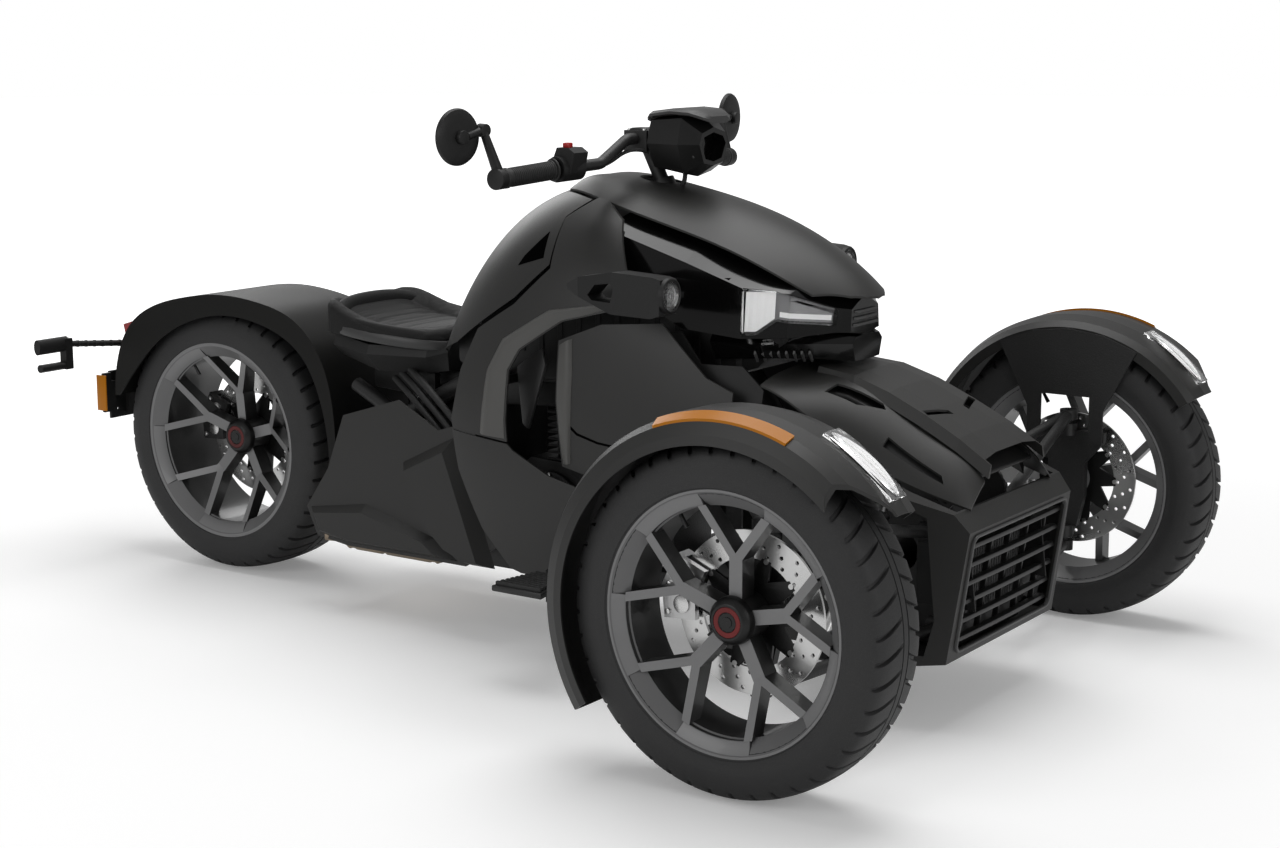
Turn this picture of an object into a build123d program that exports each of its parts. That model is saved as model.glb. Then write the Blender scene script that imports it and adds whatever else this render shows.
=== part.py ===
"""Three-wheeled motorcycle: two steered wheels in front on double wishbones, one driven wheel behind on a
single-sided swinging arm, and a saddle, handlebar and moulded body panels between them.

X points forward, Y to the rider's left and Z up, all in millimetres, with the ground at Z 0.
"""
from build123d import *
import math
import os

# Stance of the whole vehicle
WHEELBASE = 1709.0
TRACK = 1320.0
FRONT_AXLE_X = 886.0
REAR_AXLE_X = FRONT_AXLE_X - WHEELBASE

# Tyres and rims, with the outside diameter, the width and the width over the rim's flanges
FRONT_TYRE_D, FRONT_TYRE_W, FRONT_RIM_W = 580.0, 145.0, 132.0
REAR_TYRE_D, REAR_TYRE_W, REAR_RIM_W = 591.0, 205.0, 196.0
FRONT_TYRE_H, REAR_TYRE_H = 87.0, 92.5
FRONT_SEAT_R = FRONT_TYRE_D / 2 - FRONT_TYRE_H
REAR_SEAT_R = REAR_TYRE_D / 2 - REAR_TYRE_H
FLANGE_H = 16.0
BARREL_DROP = 17.0
TYRE_SEAT_GAP = 0.2
SPOKES = 5
FRONT_SPOKE_ANGLE, REAR_SPOKE_ANGLE = 85.5, 88.0
SPOKE_SPLIT = 19.0
SPOKE_FORK_R = 98.0
SPOKE_STEM_W, SPOKE_BRANCH_W = 24.0, 15.0
SPOKE_DEPTH = 36.0
HUB_R = 38.0
FRONT_AXLE_Z = FRONT_TYRE_D / 2
REAR_AXLE_Z = REAR_TYRE_D / 2

# Hubs, brakes and kingpins, as offsets outboard of the wheel's centre plane
HUB_FACE, HUB_BACK = 34.0, -30.0
SPINDLE_R = 17.0
RUNNING_FIT = 0.05
DISC_R = min(FRONT_SEAT_R, REAR_SEAT_R) - BARREL_DROP - 51.0
DISC_T, DISC_INNER_R = 5.0, DISC_R - 47.0
DISC_OFFSET = -24.0
DISC_GAP = 6.0
CALIPER_LEG = 11.0
KINGPIN_OFFSET = -60.0
BALL_PIN_R = 8.0
BALL_BOSS_R = 18.0
BALL_BOSS_H = 24.0
BALL_GAP = 8.0
LOWER_BALL_Z = 184.0
UPPER_BALL_Z = 396.0
STEER_ARM_X = -115.0
TIE_ROD_Z = 230.0

# Suspension arms and springs
ARM_TUBE_R = 11.0
ARM_PIVOT_Y = 150.0
LOWER_ARM_SPREAD, LOWER_ARM_PIVOT_Z = 90.0, 168.0
UPPER_ARM_SPREAD, UPPER_ARM_PIVOT_Z = 70.0, 335.0
SPRING_R = 27.0

SWING_PIVOT_X, SWING_PIVOT_Z, SWING_PIVOT_R = -330.0, 300.0, 30.0
LOOSE_FIT = 0.3

# Steering
STEER_TILT = 27.0
COLUMN_TOP = (262.0, 0.0, 968.0)
COLUMN_R = 14.0
HEAD_TUBE_R = 24.0
RACK_R = 11.0
RACK_HALF = TRACK / 4
BAR_R = 11.1
GRIP_R = 17.0

# Number plate's bolts
PLATE_Z, PLATE_HOLES_ACROSS, PLATE_HOLES_UP, PLATE_HOLE_R = 365.0, 146.0, 70.0, 3.5

# Shells
SKIN = 4.0
FENDER_R = FRONT_TYRE_D / 2 + 48.0
FENDER_START, FENDER_END = 36.0, 214.0
FENDER_OUT = 94.5
FENDER_IN = -79.0
REAR_FENDER_HALF = REAR_TYRE_W / 2 + 19.5
PANEL_RECESS = 24.0
COWL_RECESS = 9.0
INNER_DEPTH = 64.0

parts = {}


def mirrored(shape):
    """The shape's twin on the other side of the vehicle."""
    return mirror(shape, about=Plane.XZ)


def flat(points):
    """A face inside a closed polygon of points in space."""
    return make_face(Polyline(*points, close=True))


def prism_y(outline, y0, y1):
    """An outline of (x, z) points, extended sideways from y0 to y1."""
    return extrude(flat([(x, y0, z) for x, z in outline]), amount=y1 - y0, dir=(0, 1, 0))


def prism_x(outline, x0, x1):
    """An outline of (y, z) points, extended forward from x0 to x1."""
    return extrude(flat([(x0, y, z) for y, z in outline]), amount=x1 - x0, dir=(1, 0, 0))


def prism_z(outline, z0, z1):
    """An outline of (x, y) points, extended upward from z0 to z1."""
    return extrude(flat([(x, y, z0) for x, y in outline]), amount=z1 - z0, dir=(0, 0, 1))


def block(x0, x1, y0, y1, z0, z1):
    """A box between two corners."""
    return prism_z([(x0, y0), (x1, y0), (x1, y1), (x0, y1)], z0, z1)


def rod(start, end, radius):
    """A round bar between two points."""
    start, end = Vector(*start), Vector(*end)
    return Part() + Solid.make_cylinder(radius, (end - start).length, Plane(start, z_dir=end - start))


def pin_y(x, z, radius, y0, y1):
    """A round bar across the vehicle."""
    return rod((x, y0, z), (x, y1, z), radius)


def turned(section, arc=360.0):
    """A ring about the wheel's axle from a section of (outboard, radius) points, on the vehicle's right."""
    return revolve(flat([(r, -o, 0) for o, r in section]), Axis.Y, arc)


def loft_x(stations, ruled=True):
    """A solid through closed (y, z) polygons at rising x."""
    return loft([flat([(x, y, z) for y, z in outline]) for x, outline in stations], ruled=ruled)


def full(half):
    """Both halves of a (y, z) outline that is given from the centre outward."""
    left = [(y, z) for y, z in half]
    right = [(-y, z) for y, z in reversed(half) if y > 0]
    return left + right


def inset(half, depth):
    """A half outline of (y, z) points from the centre outward, moved inward by depth along its normals."""
    moved = []
    for i, (y, z) in enumerate(half):
        before = half[i - 1] if i else (-half[1][0], half[1][1])
        after = half[i + 1] if i + 1 < len(half) else (y, z - 1.0)
        dy, dz = after[0] - before[0], after[1] - before[1]
        length = math.hypot(dy, dz)
        moved.append((max(y + dz * depth / length, 0.0), z - dy * depth / length))
    return moved


def arch(x, half, depth=0.0):
    """A closed face across the vehicle at x: a smooth curve over the half outline's points and a flat base."""
    points = [(x, y, z) for y, z in full(inset(half, depth) if depth else half)]
    n = len(half)
    curve = points[n - 1::-1] + points[:n - 1:-1]
    return make_face([Spline(*curve), Line(curve[-1], curve[0])])


# Wheels

def tyre(diameter, width, height, rim_width):
    """A tyre: a crowned tread, two shoulders and two bulged walls down to the rim's seats."""
    r, half = diameter / 2, width / 2
    seat = r - height + TYRE_SEAT_GAP
    side = [(half * 0.62, r - 3), (half * 0.86, r - height * 0.16), (half, r - height * 0.5),
            (rim_width / 2 - 8.5, seat)]
    return turned([(-o, radius) for o, radius in side[::-1]] + [(0, r)] + side)


def bar_face(start, end, width):
    """A rectangle in the wheel's plane along the line from start to end."""
    (x0, z0), (x1, z1) = start, end
    length = math.hypot(x1 - x0, z1 - z0)
    nx, nz = -(z1 - z0) / length * width / 2, (x1 - x0) / length * width / 2
    return flat([(x0 + nx, 0, z0 + nz), (x1 + nx, 0, z1 + nz), (x1 - nx, 0, z1 - nz), (x0 - nx, 0, z0 - nz)])


def polar(radius, degrees):
    """A point in the wheel's plane, its angle measured from forward to up."""
    return radius * math.cos(math.radians(degrees)), radius * math.sin(math.radians(degrees))


def spoke_plan(first_angle, barrel_r):
    """The five forked spokes as flat faces in the wheel's plane."""
    plan = Sketch()
    for k in range(SPOKES):
        angle = first_angle + k * 360.0 / SPOKES
        fork = polar(SPOKE_FORK_R, angle)
        plan += bar_face(polar(HUB_R * 0.6, angle), polar(SPOKE_FORK_R + 3, angle), SPOKE_STEM_W)
        for side in (-1, 1):
            plan += bar_face(fork, polar(barrel_r + 14, angle + side * SPOKE_SPLIT), SPOKE_BRANCH_W)
    return plan


def centre_nut():
    """The wheel's centre nut and its washer."""
    return (pin_y(0, 0, 30, -HUB_FACE - 5, -HUB_FACE) + pin_y(0, 0, 24, -HUB_FACE - 12, -HUB_FACE - 5)
            - pin_y(0, 0, 15, -HUB_FACE - 12, -HUB_FACE - 4))


def rim(rim_width, first_angle, seat_r):
    """A cast rim: a barrel with two flanges, a dished star of forked spokes and a bored hub."""
    half = rim_width / 2
    flange_r, barrel_r = seat_r + FLANGE_H, seat_r - BARREL_DROP
    barrel = turned([(half, flange_r), (half - 8, seat_r), (half - 26, barrel_r + 6), (-half + 26, barrel_r + 6),
                     (-half + 8, seat_r), (-half, flange_r), (-half, flange_r - 8), (-half + 24, barrel_r),
                     (half - 24, barrel_r), (half, flange_r - 8)])
    rim_face = half - 10
    dish = turned([(HUB_FACE - 8, 0.01), (HUB_FACE - 8, HUB_R), (HUB_FACE, SPOKE_FORK_R), (rim_face, barrel_r + 16),
                   (rim_face - SPOKE_DEPTH, barrel_r + 3), (HUB_FACE - SPOKE_DEPTH, SPOKE_FORK_R),
                   (HUB_FACE - 8 - SPOKE_DEPTH, HUB_R), (HUB_FACE - 8 - SPOKE_DEPTH, 0.01)])
    plan = spoke_plan(first_angle, barrel_r)
    star = extrude(plan, amount=-half, dir=(0, 1, 0)) + extrude(plan, amount=half, dir=(0, 1, 0))
    star = star & dish & turned([(half, 0.01), (half, barrel_r + 3), (-half, barrel_r + 3), (-half, 0.01)])
    hub = pin_y(0, 0, HUB_R, -HUB_FACE, -HUB_BACK)
    bore = pin_y(0, 0, SPINDLE_R + RUNNING_FIT, -HUB_FACE + 14, -HUB_BACK)
    return barrel + star + hub + centre_nut() - bore


def brake_disc():
    """A brake disc and the bell that carries it on the hub's back."""
    ring = turned([(DISC_OFFSET, DISC_R), (DISC_OFFSET, DISC_INNER_R), (DISC_OFFSET - DISC_T, DISC_INNER_R),
                   (DISC_OFFSET - DISC_T, DISC_R)])
    bell = turned([(DISC_OFFSET, HUB_R + 0.2), (DISC_OFFSET, 62), (DISC_OFFSET - DISC_T, 62),
                   (DISC_OFFSET - DISC_T, HUB_R + 0.2)])
    legs = Sketch()
    for k in range(SPOKES):
        angle = 36 + k * 360.0 / SPOKES
        legs += bar_face(polar(58, angle), polar(DISC_INNER_R + 5, angle), 14)
    arms = Pos(0, -DISC_OFFSET, 0) * extrude(legs, amount=DISC_T, dir=(0, 1, 0))
    return ring + bell + arms


front_set = {"tyre": tyre(FRONT_TYRE_D, FRONT_TYRE_W, FRONT_TYRE_H, FRONT_RIM_W),
             "rim": rim(FRONT_RIM_W, FRONT_SPOKE_ANGLE, FRONT_SEAT_R), "brake_disc": brake_disc()}
front_centre = Pos(FRONT_AXLE_X, -TRACK / 2, FRONT_AXLE_Z)
for piece, shape in front_set.items():
    parts[f"front_{piece}_right"] = front_centre * shape
    parts[f"front_{piece}_left"] = mirrored(front_centre * shape)

rear_centre = Pos(REAR_AXLE_X, 0, REAR_AXLE_Z)
parts["rear_tyre"] = rear_centre * tyre(REAR_TYRE_D, REAR_TYRE_W, REAR_TYRE_H, REAR_RIM_W)
parts["rear_rim"] = rear_centre * rim(REAR_RIM_W, REAR_SPOKE_ANGLE, REAR_SEAT_R)
parts["rear_brake_disc"] = rear_centre * brake_disc()


# Knuckles, which steer about the kingpin and carry the spindle, caliper and fender

def knuckle():
    """The right upright with its spindle, ball bosses, steering arm and caliper ears."""
    back = -KINGPIN_OFFSET
    plate = prism_y([(-26, -94), (26, -94), (40, -30), (40, 40), (78, 84), (78, 104), (-78, 104), (-78, 84),
                     (-40, 40), (-40, -30)], back - 12, back + 4)
    spindle = pin_y(0, 0, SPINDLE_R, -HUB_FACE + 16, back - 12) + pin_y(0, 0, 34, -HUB_BACK + 4, back - 8)
    low, high = LOWER_BALL_Z - FRONT_AXLE_Z, UPPER_BALL_Z - FRONT_AXLE_Z
    bosses = (rod((0, back, low - BALL_BOSS_H / 2), (0, back, low + BALL_BOSS_H / 2), BALL_BOSS_R)
              + rod((0, back, high - BALL_BOSS_H / 2), (0, back, high + BALL_BOSS_H / 2), BALL_BOSS_R))
    tie_z = TIE_ROD_Z - FRONT_AXLE_Z
    arm = prism_z([(0, back - 10), (STEER_ARM_X, back - 10), (STEER_ARM_X - 13, back), (STEER_ARM_X, back + 10),
                   (0, back + 10)], tie_z - 26, tie_z - 14)
    bores = (rod((0, back, low - BALL_BOSS_H), (0, back, low + BALL_BOSS_H / 2 - 4), BALL_PIN_R + RUNNING_FIT)
             + rod((0, back, high - BALL_BOSS_H / 2 + 4), (0, back, high + BALL_BOSS_H), BALL_PIN_R + RUNNING_FIT))
    return plate + spindle + bosses + arm - bores


def caliper():
    """The brake caliper, hung behind the axle over the disc's edge."""
    outer = -(DISC_OFFSET + DISC_GAP + CALIPER_LEG)
    inner = -(DISC_OFFSET - DISC_T - DISC_GAP - CALIPER_LEG)
    foot, reach = DISC_R - 39, DISC_R + 26
    outline = [polar(foot, 142), polar(foot, 170), polar(foot, 194), polar(reach - 6, 190), polar(reach, 170),
               polar(reach - 6, 148)]
    body = prism_y(outline, outer, inner)
    slot = pin_y(0, 0, DISC_R + DISC_GAP, -(DISC_OFFSET + DISC_GAP), -(DISC_OFFSET - DISC_T - DISC_GAP))
    ears = prism_y([(-100, -12), (-38, -12), (-38, 22), (-100, 22)], inner, -KINGPIN_OFFSET - 12)
    return body - slot + ears


def fender():
    """The curved mudguard over a front tyre: crown, rolled shoulders and two side walls."""
    r, out, inner = FENDER_R, FENDER_OUT, FENDER_IN
    outside = [(out, r - 50), (out - 3, r - 34), (out - 12, r - 14), (out - 30, r - 4), (20, r), (-30, r - 1),
               (inner + 12, r - 10), (inner, r - 22), (inner, r - 42)]
    inside = [(o + (SKIN if o < 0 else -SKIN), radius - (SKIN if i in range(1, 8) else 0))
              for i, (o, radius) in enumerate(outside)]
    shell = turned(outside + inside[::-1], FENDER_END - FENDER_START).rotate(Axis.Y, -FENDER_END)
    corner = [(FENDER_R * 0.58, -FENDER_OUT - 10), (FENDER_R * 0.58, -FENDER_OUT + 4), (FENDER_R * 0.66, -62), (265, -8),
              (330, 20), (330, -FENDER_OUT - 10)]
    return shell - prism_z(corner, 100, 330)


def fender_bracket():
    """The fork-shaped plate that hangs the fender on the upright, open round the upper arm."""
    face = -FENDER_IN
    top = [polar(FENDER_R - 24, degrees) for degrees in (118, 104, 90, 76, 62)]
    plate = prism_y([polar(FENDER_R - 44, 118), *top, polar(FENDER_R - 44, 62), (82, 150), (82, 84), (52, 84),
                     (52, 178), (-52, 178), (-52, 84), (-82, 84), (-82, 150)], face, face + SKIN)
    studs = (pin_y(67, 94, 8, -KINGPIN_OFFSET + 4, face) + pin_y(-67, 94, 8, -KINGPIN_OFFSET + 4, face))
    return plate + studs


def crown_strip(start, end, inner_edge, outer_edge, depth):
    """A strip lying on the fender between two angles, from its top edges given as (outboard, radius)."""
    (o0, r0), (o1, r1) = inner_edge, outer_edge
    return turned([(o1, r1), (o0, r0), (o0, r0 - depth), (o1, r1 - depth)], end - start).rotate(Axis.Y, -end)


knuckle_set = {"upright": knuckle() + fender_bracket(), "caliper": caliper(), "fender": fender(),
               "fender_marker": crown_strip(68, 111, (62, FENDER_R + 0.5), (82.5, FENDER_R - 9.7), 5.8) - fender(),
               "fender_lamp": crown_strip(40, 65, (-40, FENDER_R + 6.3), (6, FENDER_R + 6.3), 6)}
for piece, shape in knuckle_set.items():
    parts[f"{piece}_right"] = front_centre * shape
    parts[f"{piece}_left"] = mirrored(front_centre * shape)


# Suspension arms, springs and steering rack

def wishbone(spread, pivot_z, ball_z, pin_z):
    """A V of two tubes from the frame's pivots out to the ball boss, which holds the kingpin's pin."""
    ball_y = -(TRACK / 2 + KINGPIN_OFFSET)
    apex = (FRONT_AXLE_X, ball_y, ball_z)
    arms = Part()
    for side in (-1, 1):
        pivot = (FRONT_AXLE_X + side * spread, -ARM_PIVOT_Y, pivot_z)
        arms += rod(pivot, apex, ARM_TUBE_R)
        arms += rod((pivot[0] - 18, pivot[1], pivot[2]), (pivot[0] + 18, pivot[1], pivot[2]), 18)
    arms += rod((apex[0], apex[1], ball_z - 10), (apex[0], apex[1], ball_z + 10), BALL_BOSS_R)
    arms += rod(apex, (apex[0], apex[1], pin_z), BALL_PIN_R)
    return arms


low_arm_z = LOWER_BALL_Z - BALL_BOSS_H / 2 - BALL_GAP - 10
high_arm_z = UPPER_BALL_Z + BALL_BOSS_H / 2 + BALL_GAP + 10
lower_arm = wishbone(LOWER_ARM_SPREAD, LOWER_ARM_PIVOT_Z, low_arm_z, LOWER_BALL_Z + BALL_BOSS_H / 2 - 6)
upper_arm = wishbone(UPPER_ARM_SPREAD, UPPER_ARM_PIVOT_Z, high_arm_z, UPPER_BALL_Z - BALL_BOSS_H / 2 + 6)
shock_foot = (FRONT_AXLE_X, -394.0, LOWER_ARM_PIVOT_Z + 31)
shock_top = (FRONT_AXLE_X, -165.0, 425.0)
lower_arm += rod((FRONT_AXLE_X - 62, -400, 163), (FRONT_AXLE_X + 62, -400, 163), 10)
lower_arm += (block(FRONT_AXLE_X - 14, FRONT_AXLE_X + 14, -412, -380, 160, shock_foot[2] + 6)
              - rod(shock_foot, shock_top, 11))


def point_between(a, b, share):
    """The point at a share of the way from a to b."""
    return tuple(p + (q - p) * share for p, q in zip(a, b))


shock = (rod(shock_foot, shock_top, 11) + rod(point_between(shock_foot, shock_top, 0.22),
                                              point_between(shock_foot, shock_top, 0.86), SPRING_R))
wishbones = lower_arm + upper_arm
parts["wishbones"] = wishbones + mirrored(wishbones)
parts["front_shocks"] = shock + mirrored(shock)

rack_x = FRONT_AXLE_X + STEER_ARM_X
eye_y = TRACK / 2 + KINGPIN_OFFSET
tie_rod = rod((rack_x, -RACK_HALF + 20, TIE_ROD_Z), (rack_x, -eye_y, TIE_ROD_Z), 8)
tie_rod += rod((rack_x, -eye_y, TIE_ROD_Z - 8), (rack_x, -eye_y, TIE_ROD_Z + 8), 14)
parts["steering_rack"] = rod((rack_x, -RACK_HALF, TIE_ROD_Z), (rack_x, RACK_HALF, TIE_ROD_Z), RACK_R)
parts["steering_rack"] += tie_rod + mirrored(tie_rod)
housing = rod((rack_x, -125, TIE_ROD_Z), (rack_x, 125, TIE_ROD_Z), 24)
housing -= rod((rack_x, -126, TIE_ROD_Z), (rack_x, 126, TIE_ROD_Z), RACK_R + RUNNING_FIT)

# Frame, engine and the pieces below
MUFFLER_TOP = 186.0
COVER_Y = 206.0
SHOCK_Y, EYE_HALF = 154.0, 10.0
rail_y, rail_z0, rail_z1 = 110.0, 130.0, 176.0
frame = Part()
for side in (-1, 1):
    frame += block(-60, 1000, side * rail_y - 20, side * rail_y + 20, rail_z0, rail_z1)
    frame += rod((-45, side * rail_y, rail_z1 - 22), (-290, side * rail_y, 420), 20)
    frame += rod((-290, side * rail_y, 400), (-60, side * rail_y, 522), 18)
    frame += rod((-60, side * rail_y, 522), (420, side * rail_y, 552), 18)
    frame += rod((420, side * rail_y, 552), (700, side * rail_y, 160), 20)
    frame += rod((-270, side * rail_y, 400), (-420, side * 90, 460), 15)
    frame += prism_y([(-390, 250), (-250, 230), (-230, 330), (-290, 430), (-390, 350)], side * rail_y - 7,
                     side * rail_y + 7)
frame -= pin_y(SWING_PIVOT_X, SWING_PIVOT_Z, SWING_PIVOT_R + LOOSE_FIT, -140, 140)
for x in (-40, 200, 420, 690, 980):
    frame += block(x - 20, x + 20, -rail_y, rail_y, rail_z0, rail_z1)
tower = prism_y([(700, 160), (1000, 160), (985, 260), (965, 380), (900, 448), (850, 448), (790, 400), (740, 300)],
                -131.8, -125)
tower -= pin_y(rack_x, TIE_ROD_Z, RACK_R + 8, -140, -110)
tower -= pin_y(FRONT_AXLE_X, 290, 38, -140, -110)
frame += tower + mirrored(tower)
frame += block(850, 900, -131, 131, 430, 448)
for side in (-1, 1):
    ear = prism_x([(side * 131, 418), (side * 172, 418), (side * 172, 428), (side * 154, 448), (side * 131, 448)],
                  FRONT_AXLE_X - 18, FRONT_AXLE_X + 18)
    frame += ear - rod((shock_foot[0], side * -shock_foot[1], shock_foot[2]),
                       (shock_top[0], side * -shock_top[1], shock_top[2]), 11)
frame += block(760, 800, -131, 131, 192, 208) + housing
frame += block(-335, -305, -rail_y - 7, rail_y + 7, MUFFLER_TOP, MUFFLER_TOP + 8)
for side in (-1, 1):
    frame += block(-335, -305, side * rail_y - 7, side * rail_y + 7, MUFFLER_TOP, 250)
    for x, z in ((-262, 250), (-266, 385), (-120, 235)):
        frame += pin_y(x, z, 8, side * rail_y, side * (COVER_Y - SKIN))
    frame += block(242, 278, side * (rail_y + 15), side * 318, 138, 156)
    frame += block(242, 278, side * 300, side * 318, 138, 200)
frame += prism_y([(-372, 420), (-340, 420), (-340, 490), (-372, 490)], 95, SHOCK_Y - EYE_HALF)
frame += prism_y([(-372, 466), (-340, 466), (-340, 490), (-372, 490)], SHOCK_Y + EYE_HALF, SHOCK_Y + EYE_HALF + 10)
frame += pin_y(-356, 478, 6, SHOCK_Y - EYE_HALF - 2, SHOCK_Y + EYE_HALF + 2)
parts["engine_block"] = block(-40, 370, -85, 85, rail_z1, 520)

# The steering column and its head tube, tilted back from upright
tilt = math.radians(STEER_TILT)
column_dir = (math.sin(tilt), 0.0, -math.cos(tilt))


def on_column(distance):
    """The point that lies this far down the steering column from its top."""
    return tuple(c + d * distance for c, d in zip(COLUMN_TOP, column_dir))


head_tube = rod(on_column(64), on_column(200), HEAD_TUBE_R) - rod(on_column(60), on_column(204),
                                                                 COLUMN_R + RUNNING_FIT)
post_foot = (430.0, 110.0, 556.0)
for side in (-1, 1):
    strut = rod(on_column(150), (post_foot[0], side * post_foot[1], post_foot[2] - 4), 13)
    head_tube += strut - rod(on_column(60), on_column(204), COLUMN_R + RUNNING_FIT + 4)
parts["main_frame"] = frame + head_tube - rod(on_column(60), on_column(204), COLUMN_R + RUNNING_FIT)

# Handlebar with its stem, clamp, grips, switch boxes, instrument pod and mirrors
bar_points = [(262.0, 0.0, 992.0), (262.0, -78.0, 992.0), (252.0, -150.0, 950.0), (229.0, -262.0, 944.0),
              (196.0, -378.0, 933.0)]
bar_path = FilletPolyline(*bar_points, radius=[30, 30, 60])
bar_end = Vector(*bar_points[-1])
bar = sweep(Plane(bar_path @ 0, z_dir=bar_path % 0) * Circle(BAR_R), path=bar_path)
stem = rod(on_column(-14), on_column(196), COLUMN_R)
clamp = block(238, 290, -52, 52, 968, 1008)
parts["handlebar"] = bar + mirrored(bar) + stem + clamp


def along_bar(share):
    """A point on the straight outer end of the bar, from the inner end of the grip to the bar's tip."""
    return point_between(bar_points[3], bar_points[4], share)


grip = rod(along_bar(0.0), along_bar(1.0), GRIP_R) - rod(along_bar(-0.2), along_bar(1.2), BAR_R + TYRE_SEAT_GAP)
switch_box = rod(point_between(bar_points[2], bar_points[3], 0.5), point_between(bar_points[2], bar_points[3], 0.98),
                 24)
switch_box += prism_y([(222, 938), (258, 938), (266, 975), (252, 984), (226, 984), (216, 960)], -252, -208)
switch_box -= rod(point_between(bar_points[2], bar_points[3], 0.3), point_between(bar_points[2], bar_points[3], 1.2),
                  BAR_R + TYRE_SEAT_GAP)
parts["grips"] = grip + mirrored(grip)
parts["switch_boxes"] = switch_box + mirrored(switch_box)
pod = loft([flat([(300, y, z) for y, z in full([(0, 1036), (52, 1028), (66, 985), (40, 940), (0, 934)])]),
            flat([(372, y, z) for y, z in full([(0, 1044), (58, 1034), (70, 985), (48, 930), (0, 922)])]),
            flat([(408, y, z) for y, z in full([(0, 1016), (40, 1006), (50, 985), (34, 950), (0, 944)])])], ruled=True)
pod -= loft([flat([(374, y, z) for y, z in full([(0, 1024), (44, 1018), (54, 985), (36, 944), (0, 938)])]),
             flat([(409, y, z) for y, z in full([(0, 1006), (32, 998), (42, 985), (28, 958), (0, 952)])])], ruled=True)
parts["instrument_pod"] = pod + block(290, 304, -30, 30, 975, 1000)
mirror_stem = (rod((196, -374, 933), (196, -399, 933), 19) - rod(along_bar(0.5), along_bar(1.0), 30) + rod((196, -389, 940), (170, -398, 1020), 8)
               + rod((170, -398, 1020), (162, -440, 1010), 8))
mirror_disc = rod((166, -455, 1010), (154, -457, 1010), 52)
parts["mirrors"] = mirror_stem + mirror_disc + mirrored(mirror_stem + mirror_disc)

# Body envelope: half outlines of (y, z) points from the centre over the top and down each side
ENVELOPE = [
    (-140.0, [(0, 640), (75, 620), (140, 560), (180, 480), (205, 400), (205, 300), (190, 150)]),
    (-60.0, [(0, 778), (100, 750), (185, 670), (238, 560), (262, 430), (250, 300), (215, 150)]),
    (60.0, [(0, 882), (125, 850), (225, 750), (276, 610), (292, 450), (280, 300), (240, 150)]),
    (200.0, [(0, 917), (150, 880), (248, 770), (290, 620), (300, 450), (290, 300), (258, 150)]),
    (360.0, [(0, 900), (150, 860), (250, 750), (286, 610), (296, 450), (290, 300), (262, 150)]),
    (520.0, [(0, 845), (140, 800), (235, 700), (270, 580), (284, 440), (280, 300), (255, 150)]),
    (650.0, [(0, 770), (120, 730), (212, 645), (248, 550), (264, 430), (262, 300), (240, 150)]),
]


def envelope(depth):
    """The mid body's smooth outer form, moved inward by depth."""
    return loft([arch(x, half, depth) for x, half in ENVELOPE])


def body_skin(depth):
    """A skin of the body's form, lying this deep below its outside."""
    return envelope(depth) - envelope(depth + SKIN)


outer_skin, recessed_skin, cowl_skin = body_skin(0.0), body_skin(PANEL_RECESS), body_skin(COWL_RECESS)
upper_panel = [(47, 636), (138, 690), (210, 760), (200, 850), (250, 892), (322, 850), (372, 766), (425, 700),
               (350, 690), (259, 667), (166, 607), (141, 567), (135, 471), (138, 430), (-8, 440), (-13, 456),
               (8, 555)]
lower_panel = [(-10, 436), (138, 426), (151, 415), (233, 376), (325, 355), (380, 345), (380, 166), (137, 166),
               (111, 172), (52, 246), (4, 359)]
side_panel = outer_skin & prism_y(upper_panel, -330, -60)
lower_side = outer_skin & prism_y(lower_panel, -330, -150)
cover_outline = [(237, 628), (328, 664), (450, 673), (547, 582), (600, 559), (600, 480), (504, 400), (417, 380),
              (400, 360), (250, 392), (236, 515)]
side_cover = recessed_skin & prism_y(cover_outline, -330, -120)
rear_cowl = [(-139, 560), (-30, 600), (40, 645), (128, 700), (198, 765), (190, 850), (246, 905), (130, 960),
             (-139, 960)]
parts["rear_cowl"] = cowl_skin & prism_y(rear_cowl, -330, 330)
for piece, shape in (("side_panels", side_panel), ("lower_panels", lower_side), ("side_covers", side_cover)):
    parts[piece] = shape + mirrored(shape)
stand_offs = (pin_y(60, 528, 9, -320, -rail_y) + pin_y(30, 528, 9, -320, -rail_y)
              + block(180, 220, -320, -rail_y - 10, rail_z1 - 10, rail_z1)) & envelope(SKIN)
stand_offs += (pin_y(395, 550, 9, -320, -rail_y) + pin_y(560, 370, 9, -320, -rail_y)) & envelope(PANEL_RECESS + SKIN)
inner = body_skin(INNER_DEPTH) & prism_y([(236, 628), (330, 655), (468, 655), (512, 600), (590, 600), (634, 560),
                                         (634, 420), (560, 380), (236, 380)], -330, -140)
inner -= pin_y(395, 550, 9, -320, -rail_y) + pin_y(560, 370, 9, -320, -rail_y)
parts["inner_fairing"] = inner + mirrored(inner)
cowl_stay = rod((-40, -rail_y, 523), (-40, -rail_y - 60, 720), 9) & envelope(COWL_RECESS + SKIN)
parts["main_frame"] += stand_offs + cowl_stay + mirrored(stand_offs + cowl_stay)

# Top cowl, gloss mask, lamps and the fins below them
TOP_COWL = [(125, [(0, 908), (40, 904), (72, 893)]), (240, [(0, 920), (80, 912), (135, 885)]),
            (346, [(0, 905), (90, 890), (152, 860)]), (430, [(0, 888), (90, 871), (152, 838)]),
            (531, [(0, 860), (85, 842), (150, 808)]), (620, [(0, 824), (75, 806), (138, 770)]),
            (700, [(0, 778), (66, 760), (112, 726)]), (776, [(0, 708), (40, 703), (64, 694)])]
COWL_NOSE = [(100, 0), (100, -220), (660, -220), (680, -128), (712, -94), (742, -64), (760, -34), (766, 0)]


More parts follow.
